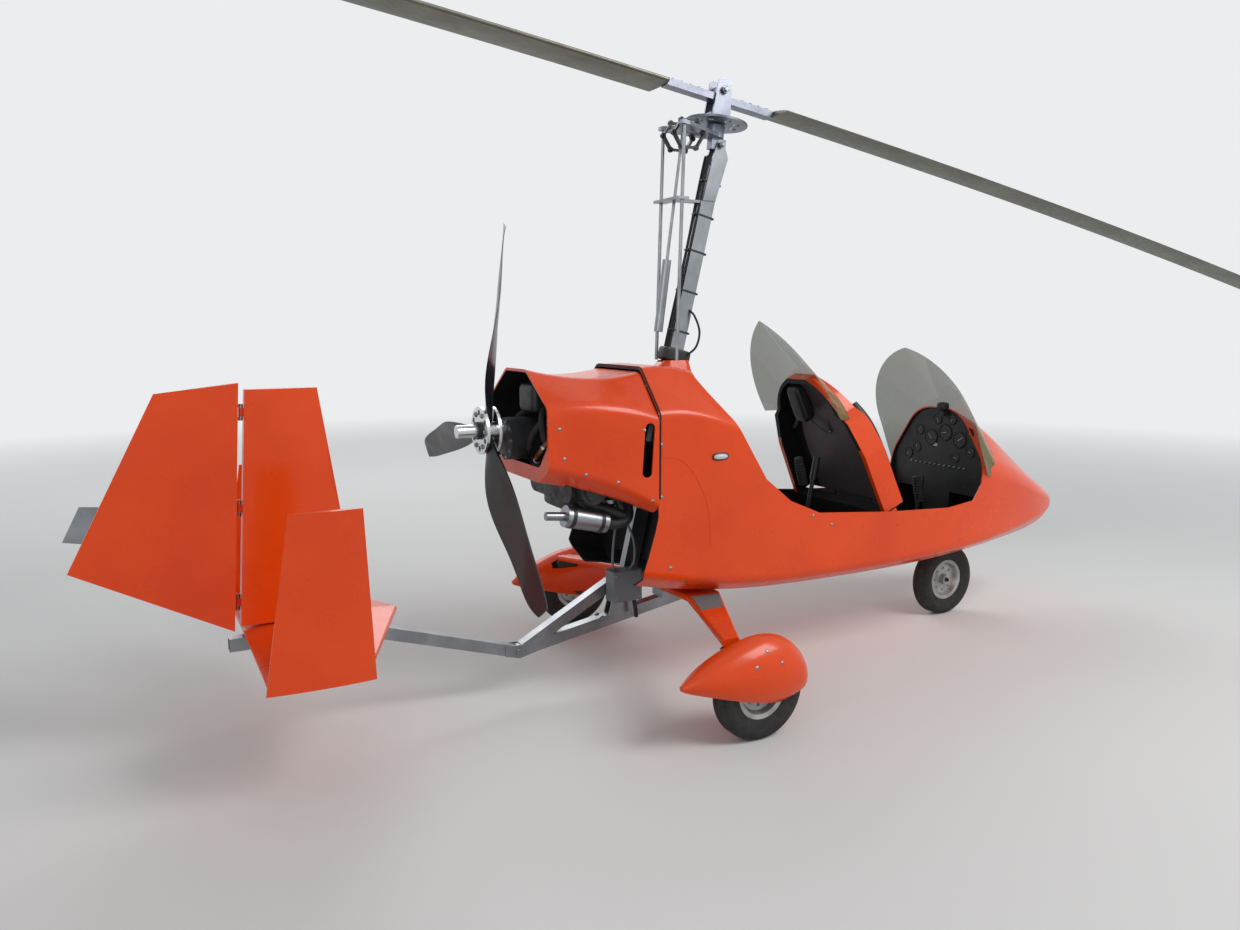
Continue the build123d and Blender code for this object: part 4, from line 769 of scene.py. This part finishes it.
# %% [markdown]
# Round the dials are a bare plate, a row of toggle switches, a compass on its foot and the screws that
# hold the panel. Switches and screws are set where lines sent forward meet the panel.

# %% Switches, compass and panel screws
label = np.array([(-0.017, -0.008), (0.017, -0.008), (0.017, 0.008), (-0.017, 0.008)])
face_axes = np.array([(0, 1, 0), (0, 0, 1), (-1, 0, 0)])
blank_plate = plate(label, 0.0015, (1.4925, 0.024, 0.972), face_axes)
dress("panel_blank_plate", [blank_plate], "grey_paint", finish=dial_white)
switch_starts = [(1.2, y, 0.86) for y in np.linspace(-0.19, 0.19, 12)]
switch_places, switch_ways = land("instrument_panel", switch_starts, (1, 0, 0))
toggle = turned([(0, 0), (0, 0.006), (0.003, 0.006), (0.004, 0.0025), (0.014, 0.0018), (0.0155, 0)], steps=10)
dress("panel_switches", [stamped(toggle, switch_places, switch_ways)], "stainless_steel")
compass = rounded_block((1.47, -0.04, 1.188), (0.026, 0.03, 0.024), np.eye(3), 0.6, 17, 28)
compass_foot = turned([(0, 0), (0, 0.016), (0.05, 0.012), (0.05, 0)], (1.47, -0.04, 1.135), (0, 0, 1), 16)
dress("panel_compass", [compass, compass_foot], "black_plastic")
rim_angle = np.linspace(radians(-62), radians(242), 28)[::2]
rim_starts = np.stack([0 * rim_angle + 1.2, 0.30 * np.cos(rim_angle), 0.93 + 0.22 * np.sin(rim_angle)], 1)
places, directions = land("instrument_panel", rim_starts, (1, 0, 0))
screws("panel_rim_screws", places, directions, 0.0045, "dark_steel")

# %% [markdown]
# The sticks end in ribbed rubber grips. A grip is turned round the stick's own line, and its radius
# swells and narrows as a wave along it.

# %% Stick grips
for label, low, high in (
    ("rear", (0.548, 0, 0.83), (0.512, 0, 0.962)),
    ("front", (1.366, 0, 0.67), (1.337, 0, 0.805)),
):
    low, high = np.array(low), np.array(high)
    length = np.linalg.norm(high - low)
    along = np.linspace(0, length, 40)
    swell = 0.0215 + 0.0016 * np.cos(along / length * 2 * pi * 9) + 0.003 * np.sin(along / length * pi)
    grip_end = [(length + 0.006, 0.014), (length + 0.007, 0)]
    profile = np.concatenate([[(0, 0)], np.stack([along, swell], 1), grip_end])
    dress(f"stick_grip_{label}", [turned(profile, low, high - low, 28)], "tyre")

# %% [markdown]
# A black rubber band seals the joint between cowl and hull. Its path is found by sending lines from
# outside at the hull, all round one station, and a domed strip is carried along it. The position
# lamps, the screws of hull and cowl, and the lip of a panel joint are set on the hull the same way.


# %% Bands, lamps and hull fasteners
def girdle(node, x, angles, proud=0.0, centre=1.14):
    """Where lines towards the middle of a station first meet the hull."""
    outward = np.stack([0 * angles, np.cos(angles), np.sin(angles)], axis=1)
    starts = np.array([x, 0, centre]) + outward
    hits = [nodes[node].ray_cast(tuple(start), tuple(-way)) for start, way in zip(starts, outward)]
    kept = [np.array(hit[1]) + proud * np.array(hit[2]) for hit in hits if hit[0]]
    return np.array(kept)


seam_angles = np.radians(np.linspace(-32, 212, 90))
seam_path = girdle("fuselage_tub", -0.5225, seam_angles, -0.001)
dress("cowl_seal_band", [swept(seam_path, strip_section(0.014, 0.0045), (-1, 0, 0))], "tyre")

lens = plain_material("polycarbonate_clear_lens", "#C9CCCB", 0, 0.15, 3.0, 0.02, Coat_Weight=0.5)
for side, label in sides:
    place, way = land("fuselage_tub", [(-0.227, side, 1.068)], (0, -side, 0))
    dome = rounded_block(place[0], (0.036, 0.015, 0.0125), np.eye(3), 0.8, 17, 32)
    foot = rounded_block(place[0], (0.043, 0.004, 0.018), np.eye(3), 0.7, 13, 32)
    dress(f"position_lamp_{label}", [dome], "cast_alloy", finish=lens)
    dress(f"position_lamp_foot_{label}", [foot], "black_plastic")

hull_table = {
    "fuselage_tub": (
        (-0.518, 1.135), (-0.516, 0.912), (0.300, 0.754), (0.416, 0.700), (-0.47, 0.60), (-0.40, 0.53),
    ),
    "engine_cowl": (
        (-0.56, 0.90), (-0.60, 1.20), (-0.95, 1.10), (-0.97, 1.22), (-0.72, 0.99), (-0.86, 1.03),
    ),
}
for node, table in hull_table.items():
    for side, label in sides:
        places, directions = land(node, [(x, side, z) for x, z in table], (0, -side, 0))
        screws(f"{node}_screws_{label}", places, directions, 0.0075)

panel_line = np.array([
    (-0.515, 0, 1.086), (-0.46, 0, 1.078), (-0.404, 0, 1.052), (-0.342, 0, 0.978),
    (-0.295, 0, 0.878), (-0.278, 0, 0.793), (-0.2705, 0, 0.681),
])
for side, label in sides:
    places, directions = land("fuselage_tub", smooth_path(panel_line, 6) + (0, side, 0), (0, -side, 0))
    strip = swept(places - 0.0006 * directions, strip_section(0.005, 0.0024), directions.mean(axis=0))
    dress(f"hull_panel_lip_{label}", [strip], "orange_composite")

# %% [markdown]
# The mast carries a bundle of cables held by clips, a black box at its foot and two loops of wire. The
# bundle is a few round strands that follow one line beside the mast.

# %% Mast fittings
mast_lean = radians(13.6)
mast_foot_x, mast_foot_z = -0.513, 0.342


def on_mast(height, ahead=0.0, side=0.0):
    """A point beside the mast: its axis at that height, then ahead of it and to the side."""
    height = np.asarray(height, float)
    x = mast_foot_x + (height - mast_foot_z) * np.tan(mast_lean) + ahead * cos(mast_lean)
    return np.stack(np.broadcast_arrays(x, side, height - ahead * sin(mast_lean)), axis=-1)


cable_height = np.array([1.43, 1.55, 1.75, 1.95, 2.15, 2.3, 2.38])
strands = [(-0.045, 0.010, 0.0055), (-0.047, -0.004, 0.0045), (-0.041, -0.014, 0.004), (0.043, 0.004, 0.0045)]
bundle = []
for index, (ahead, side, radius) in enumerate(strands):
    wander = 0.004 * np.sin(cable_height * 9 + index * 2.1)
    bundle.append(tube(on_mast(cable_height, ahead, side + wander), radius, 10, (0, 1, 0)))
dress("mast_cables", bundle, "tyre")
up_mast = (sin(mast_lean), 0, cos(mast_lean))
clip_heights = (1.6, 1.78, 1.96, 2.12, 2.27)
mast_axes = np.array([(cos(mast_lean), 0, -sin(mast_lean)), (0, 1, 0), up_mast])
clips = [rounded_block(on_mast(h), (0.052, 0.024, 0.005), mast_axes, 0.3, 13, 28) for h in clip_heights]
dress("mast_cable_clips", clips, "black_plastic")
foot_box = rounded_block(on_mast(1.492, 0.004), (0.072, 0.036, 0.032), mast_axes, 0.3, 17, 36)
dress("mast_foot_box", [foot_box], "black_plastic")
loop_points = np.array([
    (-0.185, -0.034, 1.49), (-0.150, -0.060, 1.53), (-0.135, -0.065, 1.60),
    (-0.150, -0.045, 1.67), (-0.165, -0.015, 1.70),
])
loop_sizes = ((1, 0.005), (-1, 0.004))
loops = [tube(loop_points * (1, hand, 1), radius, 10, (0, 1, 0.2), 10) for hand, radius in loop_sizes]
dress("mast_wire_loops", loops, "tyre")

# %% [markdown]
# Both seats have firm side bolsters of foam under smooth black vinyl. Each is a soft tube that swells
# in the middle and thins out at its ends, carried along the seat's edge.

# %% Seat bolsters
bolster_tables = {
    "rear_seat": (
        (0.012, 0.245, 0.80), (0.010, 0.248, 0.93), (-0.025, 0.250, 1.06), (-0.100, 0.250, 1.19),
        (-0.190, 0.240, 1.285),
    ),
    "front_seat": (
        (0.905, 0.285, 0.78), (0.845, 0.282, 0.90), (0.785, 0.270, 1.03), (0.728, 0.250, 1.15),
        (0.680, 0.205, 1.25),
    ),
}
oval = round_section(0.033, 24) * (1, 0.85)
for seat, table in bolster_tables.items():
    for side, label in sides:
        path = smooth_path(np.array(table) * (1, side, 1), 12)
        fullness = np.sin(np.linspace(0.12, pi - 0.12, len(path))) ** 0.35
        piece = dress(f"{seat}_bolster_{label}", [swept(path, oval, (0, 1, 0), fullness)], "black_plastic")

# %% [markdown]
# Behind the propeller the mouth of the cowl shows a black expansion tank, three rubber hoses, a copper
# brown coolant pipe with its clamps, and the bolts of the gearbox. Hoses and pipe are swept along smooth
# curves from one fitting to the next.

# %% Inside the cowl
tank = rounded_block((-0.925, -0.03, 1.325), (0.062, 0.085, 0.062), np.eye(3), 0.35, 21, 40)
cap_profile = [(0, 0), (0, 0.024), (0.018, 0.024), (0.022, 0.018), (0.022, 0)]
tank_cap = turned(cap_profile, (-0.925, -0.03, 1.384), steps=20)
dress("cowl_expansion_tank", [tank, tank_cap], "black_plastic")
hose_tables = (
    (
        (-0.930, -0.100, 1.290), (-0.965, -0.155, 1.230), (-0.955, -0.180, 1.140), (-0.900, -0.165, 1.090),
        (-0.860, -0.150, 1.080),
    ),
    ((-0.90, 0.04, 1.29), (-0.96, 0.13, 1.22), (-0.95, 0.16, 1.13), (-0.88, 0.15, 1.08), (-0.85, 0.13, 1.07)),
    (
        (-0.850, -0.100, 1.250), (-0.935, -0.125, 1.235), (-0.985, -0.110, 1.180), (-0.990, -0.075, 1.120),
        (-0.980, -0.050, 1.100),
    ),
)
hoses = [tube(table, 0.014, 14) for table in hose_tables]
dress("cowl_hoses", hoses, "tyre")
copper = plain_material("copper_pipe_browned", "#6E4630", 1, 0.42, 2.0, 0.05)
pipe_path = smooth_path([
    (-0.88, -0.19, 1.20), (-0.94, -0.205, 1.165), (-0.985, -0.195, 1.115), (-0.985, -0.155, 1.075),
    (-0.93, -0.13, 1.06), (-0.86, -0.13, 1.06),
])
dress("cowl_coolant_pipe", [swept(pipe_path, round_section(0.015, 16))], "dark_steel", finish=copper)
clamp_profile = [(-0.005, 0.013), (-0.005, 0.0175), (0.005, 0.0175), (0.005, 0.013), (-0.005, 0.013)]
clamp = turned(clamp_profile, steps=20)
clamp_rows = [6, 14, 24, 34]
clamp_ways = np.gradient(pipe_path, axis=0)[clamp_rows]
dress("cowl_hose_clamps", [stamped(clamp, pipe_path[clamp_rows], clamp_ways)], "stainless_steel")
t = round_angles(10)
flange_starts = np.stack([0 * t - 1.4, 0.078 * np.cos(t), 1.153 + 0.078 * np.sin(t)], axis=1)
places, directions = land("engine_block", flange_starts, (1, 0, 0))
bolts("gearbox_bolts", places, directions, 0.006)

# %% [markdown]
# Under the cowl hang the lower parts of the engine: finned barrels, a sump with its oil filter, and the
# exhaust bends at the banded silencer. The fins are the barrel's profile, a row of short steps turned
# round its axis.

# %% Under the engine
fin_steps = np.arange(9) * 0.009
fin_along = (fin_steps[:, None] + (0, 0, 0.003, 0.003)).ravel()
fins = np.stack([fin_along, np.tile([0.045, 0.062, 0.062, 0.045], 9)], 1)
barrel_profile = np.concatenate([[(0, 0)], fins, [(0.084, 0.045), (0.084, 0)]])
barrels = [
    turned(barrel_profile, (x, side * 0.205, 0.95), (0, side, 0), 36)
    for x in (-0.655, -0.785)
    for side in (-1, 1)
]
dress("engine_barrels", barrels, "dark_engine")
sump = rounded_block((-0.72, 0, 0.875), (0.125, 0.15, 0.045), np.eye(3), 0.35, 17, 40)
filter_profile = [(0, 0), (0, 0.036), (0.07, 0.036), (0.078, 0.03), (0.078, 0)]
oil_filter = turned(filter_profile, (-0.80, -0.10, 0.87), (0, -0.5, -0.86), 28)
dress("engine_sump", [sump, oil_filter], "dark_engine")
bend_tables = (
    (
        (-0.600, -0.150, 0.900), (-0.585, -0.200, 0.850), (-0.610, -0.240, 0.805), (-0.665, -0.245, 0.790),
        (-0.720, -0.240, 0.800),
    ),
    (
        (-0.800, -0.170, 0.900), (-0.770, -0.200, 0.875), (-0.700, -0.210, 0.850), (-0.640, -0.225, 0.825),
        (-0.610, -0.235, 0.810),
    ),
)
dress("exhaust_bends", [tube(table, 0.024, 18) for table in bend_tables], "dark_engine")
band = turned([(-0.008, 0.044), (-0.008, 0.0485), (0.008, 0.0485), (0.008, 0.044), (-0.008, 0.044)], steps=36)
silencer_tail, silencer_mouth = np.array([-0.905, -0.24, 0.845]), np.array([-0.715, -0.24, 0.80])
silencer_way = unit(silencer_mouth - silencer_tail)
band_places = silencer_tail + silencer_way * np.array([[0.03], [0.165]])
dress("silencer_bands", [stamped(band, band_places, silencer_way)], "dark_steel")

# %% [markdown]
# Two wires hang from the engine to the equipment box, whose lid has a screw at each corner, and a short
# tube leaves the box downwards.

# %% Wires and the equipment box
wire_tables = (
    (
        (-0.570, -0.060, 0.860), (-0.585, -0.100, 0.780), (-0.610, -0.120, 0.680), (-0.605, -0.100, 0.580),
        (-0.575, -0.070, 0.525),
    ),
    (
        (-0.560, -0.050, 0.870), (-0.545, -0.100, 0.780), (-0.515, -0.130, 0.680), (-0.500, -0.110, 0.580),
        (-0.505, -0.070, 0.525),
    ),
)
dress("engine_wires", [tube(table, 0.0055, 10) for table in wire_tables], "grey_paint")
box_tube = ((-0.480, -0.068, 0.40), (-0.474, -0.070, 0.36), (-0.470, -0.072, 0.33), (-0.468, -0.073, 0.30))
dress("equipment_box_tube", [tube(box_tube, 0.0095)], "tyre")
starts = [(x, -1, z) for z in (0.41, 0.515) for x in (-0.59, -0.47)]
places, directions = land("equipment_box", starts, (0, 1, 0))
screws("equipment_box_screws", places, directions, 0.005)

# %% [markdown]
# Six bolts clamp the blades between the two discs of the propeller hub, with lightening holes between
# them. The plate is one solid, so each hole is a dark disc set on it, painted shade for the hole's depth.

# %% Propeller hub
hub_face, aft = np.array([-1.182, 0, 1.193]), (-1.0, 0, 0)


def round_hub(radius, turn=0.0):
    """Six places round the hub's face."""
    t = round_angles(6) + turn
    return hub_face + radius * np.stack([0 * t, np.cos(t), np.sin(t)], axis=1)


bolts("propeller_hub_bolts", round_hub(0.074), aft, 0.0085, "propeller")
# Each hole is a dark disc on the plate: painted shade for the depth of the hole.
hole = turned([(-0.001, 0), (-0.001, 0.0115), (0.0006, 0.0115), (0.0006, 0)], steps=20)
dress("propeller_hub_holes", [stamped(hole, round_hub(0.076, pi / 6), aft)], "dark_engine", "propeller")
collar_profile = [(0, 0.027), (0, 0.036), (0.008, 0.038), (0.016, 0.036), (0.016, 0.027), (0, 0.027)]
collar = turned(collar_profile, hub_face, aft, 36)
dress("propeller_extension_collar", [collar], "dark_steel", "propeller")

# %% [markdown]
# The rotor hangs on one teeter bolt. A flat bar joins the two blades, and long tapered straps with a
# row of bolts spread each blade's pull over its root. Their places follow the bar's own directions.

# %% Rotor bar and blade roots
span = np.array([0.9849, -0.0523, -0.1649])
chord = np.array([0.0519, 0.9986, -0.0064])
rotor_up = np.cross(span, chord)
bar_middle = np.array([-0.0006, 0.0, 2.6716])
rotor_axes = np.array([span, chord, rotor_up])


def on_rotor(node, along, side):
    """Where lines along the rotor's axis, sent from above, meet a node."""
    starts = bar_middle + np.stack(np.broadcast_arrays(along, side, 0.3), axis=-1).reshape(-1, 3) @ rotor_axes
    return land(node, starts, -rotor_up)


bar_run = np.array([[-0.25], [-0.205], [-0.16], [-0.115], [0.115], [0.16], [0.205], [0.25]])
places, directions = on_rotor("hub_bar", bar_run, np.array([[-0.017, 0.017]]))
bolts("hub_bar_bolts", places, directions, 0.0075, "rotor")
for blade, sign in (("forward", 1), ("aft", -1)):
    node = "rotor_blade_" + blade
    run = sign * np.linspace(0.31, 0.66, 8)
    places, directions = on_rotor(node, run, -sign * 0.012)
    strap = [(0, -0.034), (0.30, -0.026), (0.385, -0.004), (0.385, 0.004), (0.30, 0.026), (0, 0.034)]
    strap_up = unit(directions.mean(axis=0))
    strap_span = unit(places[-1] - places[0])
    strap_axes = np.array([strap_span, np.cross(strap_up, strap_span), strap_up])
    foot = places[0] - 0.025 * strap_span - 0.001 * strap_up
    dress(f"blade_root_strap_{blade}", [plate(strap, 0.0055, foot, strap_axes)], "anodised_alloy", "rotor")
    bolts(f"blade_root_bolts_{blade}", places + 0.0045 * strap_up, strap_up, 0.007, "rotor")

# %% [markdown]
# The prerotator's ring gear has teeth all round. One tooth with eight corners is set at a hundred
# places. The teeter bolt has a hexagon head and a nut outside the two cheeks.

# %% Rotor head
shaft_axis = np.array([sin(radians(7)), 0, cos(radians(7))])
shaft_origin = np.array([0, 0, 2.675])
shaft_side, shaft_up = across(shaft_axis)


def round_shaft(steps):
    """Directions that point straight away from the shaft, evenly all round."""
    t = round_angles(steps)
    return np.outer(np.cos(t), shaft_side) + np.outer(np.sin(t), shaft_up)


spokes = round_shaft(100)
tooth = turned([(-0.002, 0), (-0.002, 0.0052), (0.0035, 0.0028), (0.0035, 0)], steps=4)
teeth = stamped(tooth, shaft_origin - 0.141 * shaft_axis + 0.1405 * spokes, spokes)
dress("ring_gear_teeth", [teeth], "anodised_alloy", "rotor_hub")
gear_bolts = shaft_origin - 0.136 * shaft_axis + 0.075 * round_shaft(8)
bolts("ring_gear_bolts", gear_bolts, shaft_axis, 0.006, "rotor_hub")
for side, label in sides:
    places, directions = land("rotor_hub", [shaft_origin + side * 0.2 * chord], -side * chord)
    bolts(f"teeter_bolt_{label}", places, side * chord, 0.0125, "rotor_hub")

# %% [markdown]
# The head tips on a pitch bolt. Behind it a yoke joins the rods to the head: here it is two six-sided
# chains of flat links with round joints, one on each side of the middle plane.

# %% Pitch bolt and yoke
pitch_place = np.array([-0.006, 0, 2.44])
for side, label in sides:
    places, directions = land("rotor_head", [pitch_place + (0, side * 0.3, 0)], (0, -side, 0))
    bolts(f"pitch_bolt_{label}", places, directions, 0.011, "rotor_head")
hexagon = np.radians(np.arange(0, 361, 60))
yoke_outline = np.stack([-0.192 + 0.078 * np.cos(hexagon), 0 * hexagon, 2.468 + 0.066 * np.sin(hexagon)], 1)
corner_section = np.array([(-0.011, -0.0045), (0.011, -0.0045), (0.011, 0.0045), (-0.011, 0.0045)])
joint = turned([(-0.006, 0), (-0.006, 0.0125), (0.006, 0.0125), (0.006, 0)], steps=16)
links = []
for y in (-0.045, 0.045):
    corners = yoke_outline + (0, y, 0)
    links += [swept(pair, corner_section, (0, 0, 1)) for pair in zip(corners[:-1], corners[1:])]
    links.append(stamped(joint, corners[:-1], (0.0, 1.0, 0.0)))
dress("head_yoke_links", links, "dark_steel", "rotor_head")
arm_x = (-0.235, -0.20, -0.12)
for side, label in sides:
    places, directions = land("rotor_head", [(x, side * 0.09, 3.0) for x in arm_x], (0, 0, -1))
    bolts(f"head_arm_bolts_{label}", places, directions, 0.006, "rotor_head")

# %% [markdown]
# Along the keel, bolts go through the tubes from both sides. A line that lands on an edge is left out,
# so that every head sits flat. At the tail, pins join the hinge knuckles of the rudder.

# %% Keel and rudder
keel_table = [(-1.035, 0.208), (-2.15, 0.205), (-1.80, 0.205), (-1.30, 0.205), (-0.62, 0.30), (-0.30, 0.40)]
for side, label in sides:
    places, directions = land("keel_frame", [(x, side, z) for x, z in keel_table], (0, -side, 0))
    flat = np.abs(directions[:, 1]) > 0.7
    bolts(f"keel_bolts_{label}", places[flat], directions[flat], 0.0105)
hinge_foot, hinge_top = np.array([-2.165, 0, 0.483]), np.array([-2.102, 0, 1.419])
hinge_way = unit(hinge_top - hinge_foot)
pin_places = hinge_foot + hinge_way * np.array([[0.110], [0.470], [0.830]])
pin = turned([(-0.03, 0), (-0.03, 0.0075), (0.03, 0.0075), (0.03, 0)], steps=16)
dress("rudder_hinge_pins", [stamped(pin, pin_places, hinge_way)], "stainless_steel")

# %% [markdown]
# On the undercarriage leaf are two grey anti-slip pads for the feet. A pad is read off the leaf: at each
# of ten stations, lines sent down find its two edges, and the pad follows the surface between them.
# Three screws hold each wheel fairing.

# %% Step pads and fairing screws
pad_y = np.linspace(0.315, 0.47, 10)
grip = plain_material("rubber_grip_grey", "#6B6C6E", 0, 0.9, 1.2, 0.35)
for side, label in sides:
    rows = []
    for y in pad_y:
        probe = np.linspace(-0.47, -0.14, 60)
        found = [nodes["gear_leaf"].ray_cast((x, side * y, 1.0), (0, 0, -1)) for x in probe]
        hit_x = np.array([hit[1][0] for hit in found if hit[0]])
        ends = hit_x.min() + 0.012, hit_x.max() - 0.012
        top, ways = land("gear_leaf", [(x, side * y, 1.0) for x in np.linspace(*ends, 9)], (0, 0, -1))
        rows.append(np.concatenate([top + 0.003 * ways, top[::-1] - 0.001 * ways[::-1]]))
    dress(f"step_pad_{label}", [closed_ends(np.stack(rows))], "grey_paint", finish=grip)
for side, label in sides:
    starts = [(x, side * 1.4, z) for x, z in ((-0.30, 0.33), (-0.42, 0.33), (-0.36, 0.38))]
    node = "wheel_fairing_right" if side < 0 else "wheel_fairing_left"
    places, directions = land(node, starts, (0, -side, 0))
    screws(f"fairing_screws_{label}", places, directions, 0.008)

# %% [markdown]
# A pale floor, a pale world and large soft lamps make a plain studio. What the camera, a mirror or a
# window sees of the world is nearly white, while its light on the object stays gentle.

# %% Stage and light
floor_mesh = bpy.data.meshes.new("studio_floor")
floor_mesh.from_pydata([(-30, -30, 0), (30, -30, 0), (30, 30, 0), (-30, 30, 0)], [], [(0, 1, 2, 3)])
studio_floor = bpy.data.objects.new("studio_floor", floor_mesh)
bpy.context.scene.collection.objects.link(studio_floor)
floor_material, floor_tree, floor_shader = start_material("studio_floor_pale", "#D9D9D7", 0, 0.9)
floor_mesh.materials.append(floor_material)


def seen_directly(tree):
    """1 for what the camera, a mirror or a window sees, and 0 for the light itself."""
    rays = add_node(tree, "ShaderNodeLightPath")
    pair = {0: rays.outputs["Is Camera Ray"], 1: rays.outputs["Is Glossy Ray"]}
    first = add_node(tree, "ShaderNodeMath", pair, operation="MAXIMUM").outputs["Value"]
    pair = {0: first, 1: rays.outputs["Is Transmission Ray"]}
    return add_node(tree, "ShaderNodeMath", pair, operation="MAXIMUM").outputs["Value"]


floor_place = add_node(floor_tree, "ShaderNodeTexCoord").outputs["Object"]
distance = add_node(floor_tree, "ShaderNodeVectorMath", {0: floor_place}, operation="LENGTH").outputs["Value"]
far = spread(floor_tree, distance, 0, 1, 4.5, 13)
far = add_node(floor_tree, "ShaderNodeMath", {0: far, 1: seen_directly(floor_tree)}, operation="MULTIPLY")
haze = add_node(floor_tree, "ShaderNodeEmission", {"Color": linear("#ECEDEF"), "Strength": 1.0})
sockets = {0: far.outputs["Value"], 1: floor_shader.outputs["BSDF"], 2: haze.outputs["Emission"]}
faded = add_node(floor_tree, "ShaderNodeMixShader", sockets)
floor_tree.links.new(faded.outputs["Shader"], floor_tree.nodes["Material Output"].inputs["Surface"])

world = bpy.data.worlds.new("studio_world")
bpy.context.scene.world = world
world.use_nodes = True
world_tree = world.node_tree
world_tree.nodes.clear()
soft = add_node(world_tree, "ShaderNodeBackground", {"Color": linear("#E4E8EE"), "Strength": 0.42})
bright = add_node(world_tree, "ShaderNodeBackground", {"Color": linear("#ECEDEF"), "Strength": 1.0})
mixed = add_node(
    world_tree,
    "ShaderNodeMixShader",
    {0: seen_directly(world_tree), 1: soft.outputs["Background"], 2: bright.outputs["Background"]},
)
add_node(world_tree, "ShaderNodeOutputWorld", {"Surface": mixed.outputs["Shader"]})


def soft_lamp(name, place, target, size, watts):
    """A square area lamp that faces a target point."""
    lamp = bpy.data.lights.new(name, "AREA")
    lamp.shape = "SQUARE"
    lamp.size = size
    lamp.energy = watts
    holder = bpy.data.objects.new(name, lamp)
    start = np.array(place, float)
    aim = np.array(target, float) - start
    aim = aim / np.linalg.norm(aim)
    holder.location = place
    holder.rotation_euler = (np.arccos(-aim[2]), 0, np.arctan2(aim[0], -aim[1]) + pi)
    bpy.context.scene.collection.objects.link(holder)
    return holder


soft_lamp("key_lamp", (3.5, -5.5, 6.5), (0, 0, 0.8), 4, 420)
soft_lamp("fill_lamp", (-6.5, -5.0, 3.5), (0, 0, 1.0), 5, 90)
soft_lamp("back_lamp", (0, 6.5, 5.5), (0, 0, 1.0), 5, 200)
bpy.context.scene.view_settings.view_transform = "Standard"
print("studio ready")
